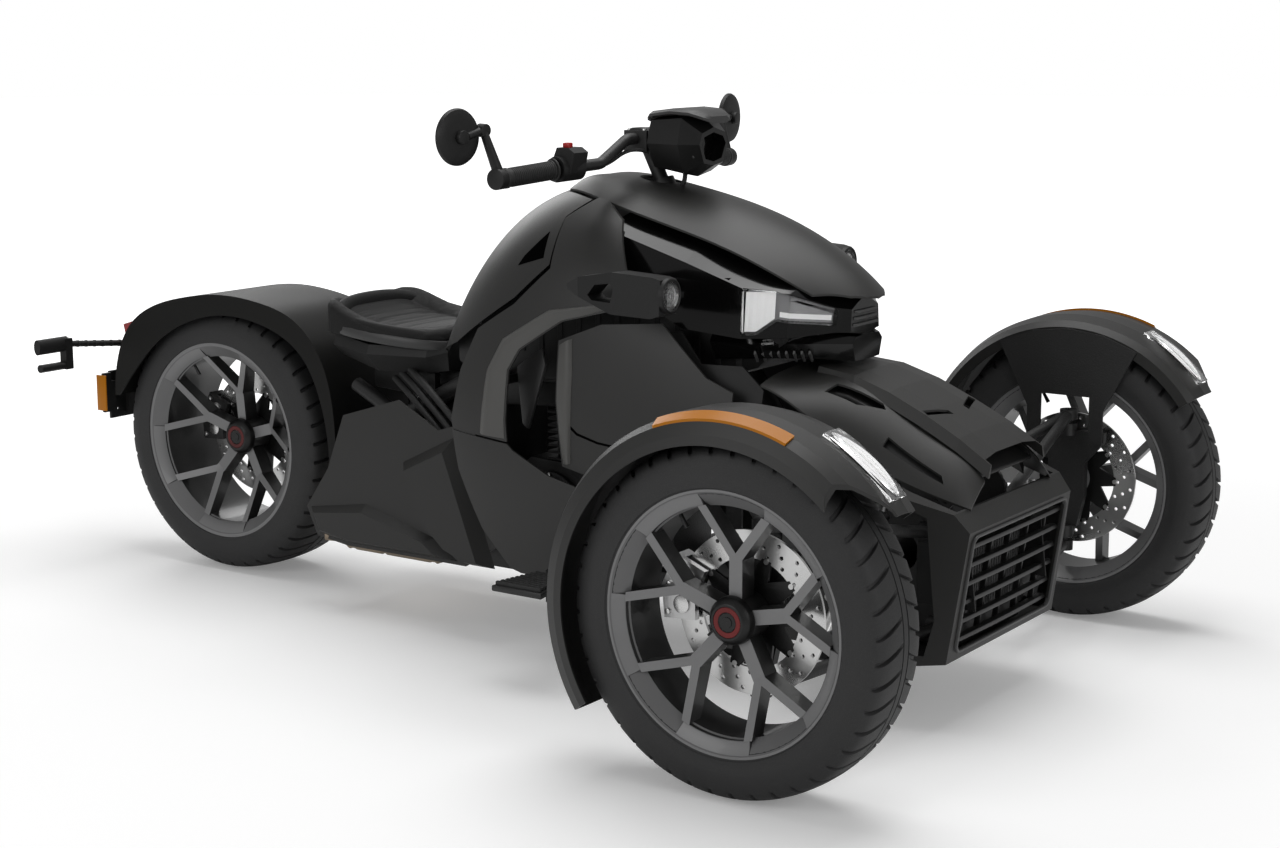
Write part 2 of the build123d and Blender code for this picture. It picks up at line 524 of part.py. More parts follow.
def thin_arch(x, half, thickness):
    """A closed face across the vehicle at x, between a curve and the same curve lowered by the thickness."""
    over = [(x, y, z) for y, z in full(half)]
    n = len(half)
    over = over[n - 1::-1] + over[:n - 1:-1]
    under = [(px, py, pz - thickness) for px, py, pz in over]
    return make_face([Spline(*over), Line(over[-1], under[-1]), Spline(*under), Line(under[0], over[0])])


nose_plan = prism_z(COWL_NOSE, 600, 1000)
top_cowl = loft([thin_arch(x, half, SKIN) for x, half in TOP_COWL]) & (nose_plan + mirrored(nose_plan))
parts["top_cowl"] = top_cowl - rod(on_column(20), on_column(160), HEAD_TUBE_R + 12)
below_cowl = loft([thin_arch(x, [(y + (4 if y > 35 else 0), z + 2) for y, z in half], 40) for x, half in TOP_COWL[:5]])
for piece in ("rear_cowl", "side_panels"):
    parts[piece] -= below_cowl

MASK = [(300, [(0, 890), (148, 852), (190, 832), (200, 740), (0, 740)]),
        (470, [(0, 856), (148, 806), (192, 782), (202, 662), (0, 662)]),
        (592, [(0, 812), (140, 762), (190, 742), (198, 652), (0, 648)]),
        (666, [(0, 770), (110, 744), (150, 733), (158, 654), (0, 648)]),
        (720, [(0, 738), (48, 718), (74, 704), (80, 660), (0, 650)]),
        (738, [(0, 722), (30, 710), (50, 700), (54, 658), (0, 650)])]


def mask_solid(depth):
    """The lamp mask's form moved inward by depth, open behind."""
    moved = []
    for i, (x, half) in enumerate(MASK):
        reach = x - depth if i == len(MASK) - 1 else x - (depth if depth and i == 0 else 0)
        moved.append((reach, full([(max(y - depth, 0), z - depth if z > half[-1][1] else z + depth) for y, z in half])))
    return loft_x(moved)


lamp_outline = [(592, 657), (590, 743), (640, 738), (666, 731), (722, 701), (720, 672), (648, 684), (618, 660)]
lamp_hole = prism_y(lamp_outline, -260, -66)
mask = mask_solid(0.0) - mask_solid(SKIN) - lamp_hole - mirrored(lamp_hole) - block(290, 560, -186, 186, 600, 758)
parts["lamp_mask"] = mask - rod(on_column(20), on_column(260), HEAD_TUBE_R + 12)
lens = (mask_solid(0.5) - mask_solid(SKIN + 12)) & prism_y(lamp_outline, -260, -67)
jaw = loft_x([(520, full([(0, 656), (176, 656), (186, 640), (166, 606), (0, 606)])),
              (618, full([(0, 656), (150, 656), (170, 640), (158, 614), (0, 614)])),
              (690, full([(0, 656), (92, 656), (108, 640), (98, 612), (0, 612)])),
              (744, full([(0, 650), (44, 650), (56, 638), (46, 606), (0, 604)]))])
parts["lamp_chin"] = jaw - mask_solid(0.0)

pod_arm = rod((430, -190, 742), (446, -296, 742), 12) - mask_solid(0.0)
side_lamp = loft_x([(304, [(-330, 738), (-318, 738), (-318, 745), (-330, 745)]),
                    (340, [(-346, 726), (-306, 726), (-306, 762), (-346, 762)]),
                    (415, [(-352, 700), (-296, 700), (-292, 773), (-348, 775)]),
                    (500, [(-352, 698), (-292, 698), (-288, 768), (-346, 771)]),
                    (518, [(-350, 704), (-294, 704), (-292, 764), (-346, 767)])])
side_lamp -= prism_y([(362, 731), (372, 722), (414, 720), (420, 745), (412, 755), (378, 750)], -360, -280)
parts["side_lamps"] = side_lamp + pod_arm + mirrored(side_lamp + pod_arm)
side_lens = rod((518.3, -322, 738), (526, -322, 738), 26)
parts["lamp_lenses"] = lens + mirrored(lens) + side_lens + mirrored(side_lens)

# Nose: bonnet, shroud and grille
HOOD = [(640, [(0, 598), (100, 592), (150, 587), (205, 574)]), (700, [(0, 591), (95, 585), (150, 571), (198, 546)]),
        (770, [(0, 584), (98, 576), (150, 550), (190, 500)]), (840, [(0, 560), (98, 548), (148, 516), (184, 458)]),
        (940, [(0, 508), (98, 498), (146, 462), (178, 418)]), (1040, [(0, 446), (98, 438), (138, 414), (166, 390)])]
PLATEAU = [(690, 88, 601), (770, 98, 592), (842, 102, 569), (914, 104, 537), (985, 108, 501), (1048, 112, 462)]
HOOD_STEP = 26.0
base = loft([thin_arch(x, half, SKIN) for x, half in HOOD])
ridge = loft_x([(x, [(-half - 6, z - HOOD_STEP), (-half + 4, z - 4), (-half * 0.5, z), (half * 0.5, z),
                     (half - 4, z - 4), (half + 6, z - HOOD_STEP)]) for x, half, z in PLATEAU])
hollow = loft_x([(x, [(-half - 4, z - HOOD_STEP - 20), (-half + 7, z - 4 - SKIN), (-half * 0.5, z - SKIN),
                      (half * 0.5, z - SKIN), (half - 7, z - 4 - SKIN), (half + 4, z - HOOD_STEP - 20)])
                 for x, half, z in [(PLATEAU[0][0] + SKIN, *PLATEAU[0][1:]), *PLATEAU[1:-1],
                                    (PLATEAU[-1][0] + 10, *PLATEAU[-1][1:])]])
vents = prism_z([(738, -146), (748, -116), (836, -108), (846, -116), (800, -140)], 400, 700)
vents += prism_z([(905, -92), (925, -30), (937, -30), (918, -96)], 400, 700)
vents += prism_z([(866, -164), (984, -160), (976, -152), (870, -150)], 400, 700)
parts["hood"] = base + ridge - hollow - vents - mirrored(vents)

shroud_plan = [(705, -232), (960, -242), (1066, -209), (1066, 209), (960, 242), (705, 232)]
shroud_side = [(705, 124), (980, 118), (1027, 124), (1061, 358), (1034, 389), (940, 415), (840, 454), (745, 528),
               (705, 530)]
inner_plan = [(700, -232 + SKIN), (958, -242 + SKIN), (1100, -200 + SKIN), (1100, 200 - SKIN), (958, 242 - SKIN),
              (700, 232 - SKIN)]
inner_side = [(700, 124 + SKIN), (980, 118 + SKIN), (1023, 128), (1054, 352), (1030, 380), (936, 406), (836, 446),
              (740, 700), (700, 700)]
shroud = prism_z(shroud_plan, 100, 540) & prism_y(shroud_side, -260, 260)
shroud -= prism_z(inner_plan, 90, 720) & prism_y(inner_side, -260, 260)
shroud -= prism_y([(760, 136), (990, 136), (1006, 200), (990, 380), (900, 420), (820, 440), (760, 440)], -260, 260)
GRILLE_HALF = 192.0
grille_hole = block(1000, 1100, -GRILLE_HALF, GRILLE_HALF, 142, 345)
parts["nose_shroud"] = shroud - grille_hole - block(700, 1030, -200, 200, 380, 700) - parts["hood"]

slats = Part()
for k in range(6):
    z = 160 + k * 34
    x = 1030 + (z - 124) * (1061 - 1027) / 234
    slats += block(x - 16, x, -GRILLE_HALF, GRILLE_HALF, z - 4, z + 4)
for y in (-150, -75, 0, 75, 150):
    rib = prism_y([(1006, 143), (1020, 143), (1049, 344), (1035, 344)], y - 3, y + 3)
    slats += rib
parts["grille"] = slats
parts["radiator"] = block(1001, 1004, -112, 112, 178, 340) + block(966, 1001, -118, 118, rail_z1, 350)

# Saddle and the panels round it
SADDLE = [(-470, [(0, 648), (70, 646), (128, 632), (120, 585), (0, 575)]),
          (-440, [(0, 640), (80, 648), (158, 640), (160, 570), (0, 560)]),
          (-330, [(0, 602), (90, 606), (165, 612), (168, 560), (0, 550)]),
          (-200, [(0, 602), (80, 602), (130, 598), (134, 560), (0, 556)]),
          (-158, [(0, 612), (50, 610), (84, 602), (88, 575), (0, 570)])]
parts["saddle"] = loft_x([(x, full(half)) for x, half in SADDLE])
PAN = [(-455, [(0, 578), (110, 580), (120, 545), (90, 520), (0, 515)]),
       (-330, [(0, 560), (150, 566), (160, 540), (120, 500), (0, 495)]),
       (-200, [(0, 566), (118, 570), (128, 540), (110, 506), (0, 500)]),
       (-165, [(0, 580), (84, 584), (100, 550), (96, 512), (0, 506)])]
parts["saddle_pan"] = loft_x([(x, full(half)) for x, half in PAN]) - parts["saddle"]
PAN_SEAT_Z = 504.2
for side in (-1, 1):
    parts["main_frame"] += block(-214, -196, min(side * 88, side * 104), max(side * 88, side * 104), 440, PAN_SEAT_Z)

rear_side = [(-464, 214), (-436, 154), (-353, 143), (-40, 143), (50, 200), (0, 340), (-15, 440), (-106, 412),
             (-208, 463), (-357, 417), (-403, 300)]
side_skin = prism_y(rear_side, -COVER_Y, -COVER_Y + SKIN)
foot_pad = loft([flat([(x, -COVER_Y, z) for x, z in [(-198, 337), (-62, 404), (34, 148), (-24, 148), (-84, 170),
                                                    (-158, 232)]]),
                 flat([(x, -COVER_Y - 26, z) for x, z in [(-176, 326), (-76, 374), (6, 160), (-26, 158), (-78, 178),
                                                        (-146, 238)]])], ruled=True)
lower_pad = loft([flat([(x, -COVER_Y, z) for x, z in [(-452, 214), (-430, 160), (-350, 150), (-60, 150), (-120, 190),
                                                     (-300, 238)]]),
                  flat([(x, -COVER_Y - 18, z) for x, z in [(-430, 206), (-414, 172), (-346, 160), (-110, 160),
                                                         (-140, 182), (-300, 222)]])], ruled=True)
side_skin += foot_pad + lower_pad
parts["rear_side_covers"] = side_skin + mirrored(side_skin)

# Rear fender over the wheel, as angles about the axle and clearances outside the tyre
CROWN = [(165.7, 15), (151.1, 35), (135.9, 49), (121.6, 42), (103.7, 30), (82.6, 38), (64.6, 61), (49.1, 91),
         (34.8, 98), (19.1, 84), (-2.1, 70)]
SKIRT = [(-2.6, 52), (21.5, 53), (38.9, 53), (60.2, 21), (82.4, -8), (101.7, -25), (124.9, -32), (150.0, -23),
         (164.8, 3)]


def round_rear_wheel(curve):
    """The (x, z) points of a curve given as angles about the rear axle and clearances outside the tyre."""
    points = [polar(REAR_TYRE_D / 2 + gap, degrees) for degrees, gap in curve]
    return [(x + REAR_AXLE_X, z + REAR_AXLE_Z) for x, z in points]


crown, skirt = round_rear_wheel(CROWN), round_rear_wheel(SKIRT)


def lowered(curve, depth):
    """An outline of (x, z) points that runs forward over the top, moved inward by depth along its normals."""
    moved = []
    for i, (x, z) in enumerate(curve):
        (x0, z0), (x1, z1) = curve[max(i - 1, 0)], curve[min(i + 1, len(curve) - 1)]
        length = math.hypot(x1 - x0, z1 - z0)
        moved.append((x + (z1 - z0) * depth / length, z - (x1 - x0) * depth / length))
    return moved


def under_crown(half, depth):
    """Everything below the rear fender's crown, moved inward by depth."""
    over = Spline(*[(x, -half, z) for x, z in lowered(crown, depth)])
    back, front = over @ 0, over @ 1
    base = Polyline(front, (front.X, -half, 150), (back.X, -half, 150), back)
    return extrude(make_face([over, *base.edges()]), amount=2 * half, dir=(0, 1, 0))


def above_skirt(half):
    """The side view between the rear fender's crown and its lower edge."""
    over = Spline(*[(x, -half, z) for x, z in crown])
    under = Spline(*[(x, -half, z) for x, z in skirt])
    face = make_face([over, Line(over @ 1, under @ 0), under, Line(under @ 1, over @ 0)])
    return extrude(face, amount=2 * half, dir=(0, 1, 0))


parts["rear_fender"] = above_skirt(REAR_FENDER_HALF) - under_crown(REAR_FENDER_HALF - SKIN, SKIN)

# Swinging arm on the left of the rear wheel, with its shock and caliper
arm_outline = [(-330, 250), (-330, 350), (-420, 372), (-620, 352), (-780, 348), (-850, 340), (-872, 296),
               (-850, 256), (-780, 244), (-500, 240)]
swingarm = prism_y(arm_outline, 132, 176)
swingarm += pin_y(SWING_PIVOT_X, SWING_PIVOT_Z, SWING_PIVOT_R, -128, 176)
swingarm += Pos(REAR_AXLE_X, 0, REAR_AXLE_Z) * prism_y([(-100, -20), (0, -30), (0, 30), (-100, 14)], 48, 58)
swingarm += pin_y(REAR_AXLE_X, REAR_AXLE_Z, 30, 40, 140)
swingarm += pin_y(REAR_AXLE_X, REAR_AXLE_Z, SPINDLE_R, -HUB_FACE + 16, 60)
for side in (-1, 1):
    ear_y = SHOCK_Y + side * (EYE_HALF + 5)
    swingarm += prism_y([(-505, 350), (-460, 350), (-468, 398), (-492, 398)], ear_y - 5, ear_y + 5)
swingarm += pin_y(-480, 388, 6, SHOCK_Y - EYE_HALF - 2, SHOCK_Y + EYE_HALF + 2)
stay_y = REAR_FENDER_HALF + 12
swingarm += prism_y([(-730, 330), (-680, 330), (-690, 604), (-712, 604)], REAR_FENDER_HALF, stay_y)
swingarm += prism_y([(-866, 330), (-838, 330), (-992, 566), (-1016, 556)], REAR_FENDER_HALF, stay_y)
parts["swingarm"] = swingarm
parts["rear_caliper"] = rear_centre * caliper()
eyes = ((-480, 388), (-356, 478))
rear_shock = rod((-449.2, SHOCK_Y, 410.3), (-386.8, SHOCK_Y, 455.7), 22)
rear_shock += rod((eyes[0][0], SHOCK_Y, eyes[0][1]), (eyes[1][0], SHOCK_Y, eyes[1][1]), 8)
for x, z in eyes:
    rear_shock += pin_y(x, z, 12, SHOCK_Y - EYE_HALF, SHOCK_Y + EYE_HALF) - pin_y(x, z, 6, 140, 170)
parts["rear_shock"] = rear_shock - pin_y(*eyes[0], 6, 140, 170) - pin_y(*eyes[1], 6, 140, 170)
parts["muffler"] = block(-400, -140, -170, 100, 122, MUFFLER_TOP)

# Tail: lamp, plate bracket, indicators and reflectors
tail_lamp = prism_y([(-1060, 501), (-1150, 501), (-1156, 526), (-1040, 560), (-1040, 545)], -60, 60)
parts["tail_lamp"] = tail_lamp - under_crown(REAR_FENDER_HALF, -LOOSE_FIT)
plate_bracket = prism_y([(-1060, 500), (-1150, 496), (-1170, 420), (-1170, 320), (-1160, 320), (-1152, 400),
                         (-1135, 460), (-1060, 460)], -50, 50)
plate_back = block(-1176, -1170, -95, 95, 310, 420)
for side in (-1, 1):
    for level in (-1, 1):
        y, z = side * PLATE_HOLES_ACROSS / 2, PLATE_Z + level * PLATE_HOLES_UP / 2
        plate_back -= rod((-1180, y, z), (-1160, y, z), PLATE_HOLE_R)
parts["plate_bracket"] = plate_bracket - under_crown(REAR_FENDER_HALF, -LOOSE_FIT) + plate_back
stalk = pin_y(-1140, 485, 7, -74, -50) + rod((-1140, -70, 485), (-1150, -234, 502), 7)
stalk += block(-1160, -1140, -246, -226, 446, 515)
lamp = (Pos(-1150, -236, 503) * Rot(90, 0, 0) * extrude(Ellipse(10, 17), amount=83)
        + rod((-1150, -240, 455), (-1150, -313, 455), 9))
reflector = block(-1160, -1152, -129, -107, 330, 420) + block(-1176, -1152, -107, -95, 350, 400)
parts["rear_indicators"] = stalk + lamp + mirrored(stalk + lamp) + reflector + mirrored(reflector)

# Footrests
peg = prism_z([(206, -440), (323, -440), (300, -318), (228, -318)], 180, 200)
parts["footrests"] = peg + mirrored(peg)

os.makedirs("parts", exist_ok=True)
for name, shape in parts.items():
    export_step(shape, f"parts/{name}.step")
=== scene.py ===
import math
import bmesh
import bpy
from mathutils import Matrix, Vector
from mathutils.bvhtree import BVHTree


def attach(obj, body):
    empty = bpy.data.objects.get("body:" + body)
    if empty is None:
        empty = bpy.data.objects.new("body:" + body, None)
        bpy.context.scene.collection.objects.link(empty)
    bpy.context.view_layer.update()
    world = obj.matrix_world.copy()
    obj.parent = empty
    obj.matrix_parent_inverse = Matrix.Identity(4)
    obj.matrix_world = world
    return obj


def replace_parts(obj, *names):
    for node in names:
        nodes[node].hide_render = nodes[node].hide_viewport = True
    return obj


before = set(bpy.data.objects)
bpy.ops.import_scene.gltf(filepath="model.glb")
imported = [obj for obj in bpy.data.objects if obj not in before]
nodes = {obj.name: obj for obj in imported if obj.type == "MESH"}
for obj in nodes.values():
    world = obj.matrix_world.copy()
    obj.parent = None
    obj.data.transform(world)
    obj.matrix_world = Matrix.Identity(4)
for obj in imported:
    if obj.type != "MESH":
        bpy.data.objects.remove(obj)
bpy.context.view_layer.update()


# Camera
# It stands ahead and to the right of the machine at chest height, with a short telephoto lens.
camera_data = bpy.data.cameras.new("camera")
camera_data.lens, camera_data.sensor_width = 61.8, 36.0
camera_data.clip_start, camera_data.clip_end = 0.1, 100.0
camera = bpy.data.objects.new("camera", camera_data)
camera.location = (2.6443, -3.5245, 1.2239)
camera.rotation_euler = (math.radians(90 - 10.547), 0.0, math.radians(124.305 - 90))
bpy.context.scene.collection.objects.link(camera)
bpy.context.scene.camera = camera
bpy.context.scene.view_settings.view_transform = "Standard"


# Studio
# A white room with a pale floor, one broad lamp overhead, one at each side and one low in front.
def give(node, values):
    """Sets the inputs of a shader node, by name or number."""
    for socket, value in values.items():
        node.inputs[socket].default_value = value


def join(tree, *links):
    """Links one node's output to another's input for each (node, output, node, input)."""
    for start, given, end, taken in links:
        tree.links.new(start.outputs[given], end.inputs[taken])


def light_path_white(tree, lamp_strength, gloss_strength, seen_strength):
    """The node for a surround's strength: as light, in reflections, and where the eye or glass sees it."""
    path = tree.nodes.new("ShaderNodeLightPath")
    seen, shine, level = (tree.nodes.new("ShaderNodeMath") for _ in range(3))
    seen.operation, shine.operation, level.operation = "MAXIMUM", "MULTIPLY_ADD", "MULTIPLY_ADD"
    give(shine, {1: gloss_strength - lamp_strength, 2: lamp_strength})
    give(level, {1: seen_strength - lamp_strength})
    join(tree, (path, "Is Camera Ray", seen, 0), (path, "Is Transmission Ray", seen, 1),
         (path, "Is Glossy Ray", shine, 0), (seen, 0, level, 0), (shine, 0, level, 2))
    return level


world = bpy.data.worlds.new("studio")
bpy.context.scene.world = world
world.use_nodes = True
surround = world.node_tree.nodes["Background"]
give(surround, {"Color": (1.0, 1.0, 1.0, 1.0)})
join(world.node_tree, (light_path_white(world.node_tree, 0.24, 0.36, 1.0), 0, surround, "Strength"))

for name, place, target, size, power in (
        ("lamp_top", (0.2, 0.6, 4.2), (0.1, 0.0, 0.3), 3.4, 118),
        ("lamp_front", (4.2, -1.2, 1.8), (0.4, 0.0, 0.4), 1.8, 26),
        ("lamp_right", (-0.6, -4.4, 2.2), (0.0, 0.0, 0.4), 2.2, 40),
        ("lamp_back", (-3.6, 2.4, 2.6), (0.0, 0.0, 0.5), 2.2, 44)):
    lamp_data = bpy.data.lights.new(name, "AREA")
    lamp_data.size, lamp_data.energy = size, power
    lamp = bpy.data.objects.new(name, lamp_data)
    lamp.location = place
    lamp.rotation_euler = (Vector(target) - Vector(place)).to_track_quat("-Z", "Y").to_euler()
    bpy.context.scene.collection.objects.link(lamp)

floor_mesh = bmesh.new()
bmesh.ops.create_circle(floor_mesh, cap_ends=True, segments=96, radius=30.0)
floor_data = bpy.data.meshes.new("floor")
floor_mesh.to_mesh(floor_data)
floor_mesh.free()
floor = bpy.data.objects.new("floor", floor_data)
floor.location.z = -0.0005
bpy.context.scene.collection.objects.link(floor)
floor_paint = bpy.data.materials.new("floor_paint")
floor_paint.use_nodes = True
paint_tree = floor_paint.node_tree
floor_shader = paint_tree.nodes["Principled BSDF"]
where, far_away, brighter, glow = (paint_tree.nodes.new(f"ShaderNode{kind}") for kind in
                                   ("TexCoord", "VectorMath", "MapRange", "Math"))
far_away.operation, brighter.interpolation_type, glow.operation = "LENGTH", "SMOOTHSTEP", "MULTIPLY"
give(floor_shader, {"Base Color": (0.9, 0.9, 0.9, 1.0), "Roughness": 0.75,
                    "Emission Color": (1.0, 1.0, 1.0, 1.0)})
give(brighter, {"From Min": 1.2, "From Max": 6.0, "To Min": 0.55, "To Max": 3.2})
join(paint_tree, (where, "Object", far_away, 0), (far_away, "Value", brighter, "Value"),
     (light_path_white(paint_tree, 0.0, 0.04, 0.34), 0, glow, 0), (brighter, 0, glow, 1),
     (glow, 0, floor_shader, "Emission Strength"))
floor_data.materials.append(floor_paint)


# Main frame, rack, handlebar and castings
# Steel tubes and folded plate, welded and powder coated black, with the steering rack in its housing across
# the nose. The uprights, the arms and the rear caliper are castings, painted black.
def moulded_surface():
    """The node group of every finish: drift of colour and gloss, fine grain and a little settled dust."""
    group = bpy.data.node_groups.new("moulded_surface", "ShaderNodeTree")
    for name, kind, value in (("Colour", "Color", (0.5, 0.5, 0.5, 1.0)), ("Roughness", "Float", 0.5),
                              ("Drift", "Float", 0.15), ("Grain Scale", "Float", 600.0),
                              ("Grain Depth", "Float", 0.3), ("Dust", "Float", 0.05),
                              ("Vector", "Vector", (0.0, 0.0, 0.0))):
        socket = group.interface.new_socket(name, in_out="INPUT", socket_type=f"NodeSocket{kind}")
        socket.default_value = value
    for name, kind in (("Colour", "Color"), ("Roughness", "Float"), ("Height", "Float")):
        group.interface.new_socket(name, in_out="OUTPUT", socket_type=f"NodeSocket{kind}")
    given, made = group.nodes.new("NodeGroupInput"), group.nodes.new("NodeGroupOutput")
    slow, fine, swing, share, tone, speck, film, mix, matt, depth = (
        group.nodes.new(f"ShaderNode{kind}") for kind in
        ("TexNoise", "TexNoise", "MapRange", "Math", "VectorMath", "MapRange", "Math", "Mix", "Math", "Math"))
    share.operation, tone.operation, mix.data_type = "MULTIPLY_ADD", "SCALE", "RGBA"
    film.operation = matt.operation = depth.operation = "MULTIPLY"
    give(slow, {"Scale": 5.0, "Detail": 4.0})
    give(fine, {"Detail": 2.0})
    give(swing, {"From Min": 0.3, "From Max": 0.7, "To Min": -1.0, "To Max": 1.0})
    give(share, {2: 1.0})
    give(speck, {"From Min": 0.5, "From Max": 0.8})
    give(mix, {"B": (0.36, 0.35, 0.33, 1.0)})
    join(group, (given, "Vector", slow, "Vector"), (given, "Vector", fine, "Vector"),
         (given, "Grain Scale", fine, "Scale"), (slow, "Fac", swing, "Value"), (swing, 0, share, 0),
         (given, "Drift", share, 1), (given, "Colour", tone, 0), (share, 0, tone, "Scale"),
         (fine, "Fac", speck, "Value"), (speck, 0, film, 0), (given, "Dust", film, 1),
         (film, 0, mix, "Factor"), (tone, 0, mix, "A"), (mix, "Result", made, "Colour"),
         (given, "Roughness", matt, 0), (share, 0, matt, 1), (matt, 0, made, "Roughness"),
         (fine, "Fac", depth, 0), (given, "Grain Depth", depth, 1), (depth, 0, made, "Height"))
    return group


surface_group = moulded_surface()


def finish(name, colour, rough, drift=0.12, grain=700.0, depth=0.25, dust=0.02, metallic=0.0, coat=0.0,
           specular=0.5, bump=0.0004):
    """A material whose look comes from the surface group; one number for its colour stands for a grey."""
    material = bpy.data.materials.new(name)
    material.use_nodes = True
    tree = material.node_tree
    shader = tree.nodes["Principled BSDF"]
    group, place, relief = (tree.nodes.new(f"ShaderNode{kind}") for kind in ("Group", "TexCoord", "Bump"))
    group.name, group.node_tree, relief.name = "surface", surface_group, "relief"
    give(shader, {"Metallic": metallic, "Coat Weight": coat, "Coat Roughness": 0.04,
                  "Specular IOR Level": specular})
    tint = colour if isinstance(colour, tuple) else (colour, colour, colour)
    give(group, {"Colour": (*tint, 1.0), "Roughness": rough, "Drift": drift, "Grain Scale": grain,
                 "Grain Depth": depth, "Dust": dust})
    give(relief, {"Distance": bump})
    join(tree, (place, "Object", group, "Vector"), (group, "Height", relief, "Height"),
         (group, "Colour", shader, "Base Color"), (group, "Roughness", shader, "Roughness"),
         (relief, "Normal", shader, "Normal"))
    return material


def dress(material, *names):
    """The CAD nodes' objects get the material in every slot."""
    for name in names:
        data = nodes[name].data
        if not data.materials:
            data.materials.append(material)
        for index in range(len(data.materials)):
            data.materials[index] = material


powder_coat = finish("powder_coat", 0.01, 0.46, grain=420.0, depth=0.4)
dress(powder_coat, "main_frame", "steering_rack", "handlebar")
cast_black = finish("cast_black", 0.013, 0.5, grain=300.0, depth=0.8, bump=0.0008)
dress(cast_black, "upright_right", "upright_left", "swingarm", "wishbones", "rear_caliper")


# Tyres
# Black road tyres of a wide, low section: a centre rib, a groove each side of it and swept slots moulded
# across the tread, with plain walls that carry a rim guard.
TREAD = [(0.0, 0.0), (0.09, 0.0), (0.10, 4.0), (0.125, 4.0), (0.135, 0.0), (0.22, 0.4), (0.32, 0.9),
         (0.42, 1.5), (0.52, 2.4), (0.62, 3.6), (0.72, 5.6), (0.79, 8.0), (0.85, 11.5), (0.90, 16.5)]
WALL = [(0.94, 0.26), (0.975, 0.36), (0.995, 0.46), (1.0, 0.54), (0.995, 0.62)]
BEAD = [(0.012, 0.70), (0.0, 0.785), (0.0, 0.825), (-0.03, 0.84), (-0.05, 0.87), (-0.08, 0.94), (-0.155, 1.0)]
PITCHES, PITCH_STEPS = 44, (0.0, 0.04, 0.185, 0.225, 0.48, 0.74)
SLOT_FROM, SLOT_TO, SLOT_DEPTH = 0.14, 0.93, 0.0065
FRONT_AXLE, REAR_AXLE = (0.886, 0.66, 0.29), (-0.823, 0.0, 0.2955)
SIDES = (("right", -1), ("left", 1))
tyre_rubber = finish("tyre_rubber", (0.014, 0.014, 0.0145), 0.6, drift=0.10, grain=900.0, depth=0.6,
                     dust=0.05, bump=0.0006)


def add_piece(name, mesh, material, body="chassis", crease=32.0):
    """Turns a bmesh into a piece that rides on a body, with its edges creased above an angle."""
    bmesh.ops.remove_doubles(mesh, verts=mesh.verts, dist=1e-6)
    bmesh.ops.recalc_face_normals(mesh, faces=mesh.faces)
    data = bpy.data.meshes.new(name)
    mesh.to_mesh(data)
    mesh.free()
    data.shade_smooth()
    data.set_sharp_from_angle(angle=math.radians(crease))
    data.materials.append(material)
    piece = bpy.data.objects.new(name, data)
    bpy.context.scene.collection.objects.link(piece)
    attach(piece, body)
    return piece


def spun(section, centre, angle=360.0, steps=96, start=0.0, closed=False, mesh=None):
    """A ring about a wheel's axle from (y, radius) points in metres, added to the mesh or a new one."""
    ring = mesh or bmesh.new()
    turn = Matrix.Rotation(math.radians(-start), 3, "Y")
    corners = [ring.verts.new(Vector(centre) + turn @ Vector((r, y, 0.0))) for y, r in section]
    pairs = zip(corners, corners[1:] + corners[:1] if closed else corners[1:])
    edges = [ring.edges.new(pair) for pair in pairs]
    bmesh.ops.spin(ring, geom=corners + edges, cent=centre, axis=(0.0, -1.0, 0.0), angle=math.radians(angle),
                   steps=steps, use_merge=angle == 360.0)
    return ring


def tyre(name, body, centre, radius, half, height, guard):
    """One tyre, its slots cut by sinking the rows of points that lie in them."""
    side = [(share * half, radius - drop / 1000) for share, drop in TREAD]
    side += [(share * half, radius - drop * height) for share, drop in WALL]
    side += [(min(guard + share, 0.996) * half, radius - drop * height) for share, drop in BEAD]
    steps = PITCHES * len(PITCH_STEPS)
    ring = spun([(-y, r) for y, r in side[:0:-1]] + side, centre, steps=steps)
    pitch = 2 * math.pi / PITCHES
    for vert in ring.verts:
        place = vert.co - Vector(centre)
        share, r = place.y / half, math.hypot(place.x, place.z)
        reach = abs(share)
        angle = math.atan2(place.z, place.x) % (2 * math.pi)
        count, step = divmod(round(angle / (2 * math.pi) * steps), len(PITCH_STEPS))
        moved = pitch * (count + PITCH_STEPS[step])
        moved += pitch * 0.5 * min(max(share / 0.16 + 0.5, 0.0), 1.0)
        moved -= 0.105 * max(min(reach, 0.9) - 0.13, 0.0) ** 0.75
        if step in (1, 2) and SLOT_FROM < reach < SLOT_TO and r > radius - 0.3 * height:
            r -= SLOT_DEPTH * min((reach - SLOT_FROM) / 0.1, 1.0) * min((SLOT_TO - reach) / 0.08, 1.0)
        vert.co = Vector(centre) + Vector((r * math.cos(moved), place.y, r * math.sin(moved)))
    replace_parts(add_piece(name, ring, tyre_rubber, body, 38.0), name.removesuffix("_tread"))


for side, sign in SIDES:
    tyre(f"front_tyre_{side}_tread", f"wheel_front_{side}",
         (FRONT_AXLE[0], sign * FRONT_AXLE[1], FRONT_AXLE[2]), 0.29, 0.0725, 0.087, 0.955)
tyre("rear_tyre_tread", "wheel_rear", REAR_AXLE, 0.2955, 0.1025, 0.0925, 0.984)


# Rims
# Cast aluminium with five forked spokes, painted satin grey. The faces that look outward are lighter than the
# sides and the barrel, whose darker grey is painted shade, and the lip is thick between one fork and the
# next.
LIP_START, LIP_SWEEP = 16.7, 38.6
rim_paint = finish("rim_paint", (0.12, 0.12, 0.121), 0.38, drift=0.06, grain=900.0, depth=0.12, coat=0.15)


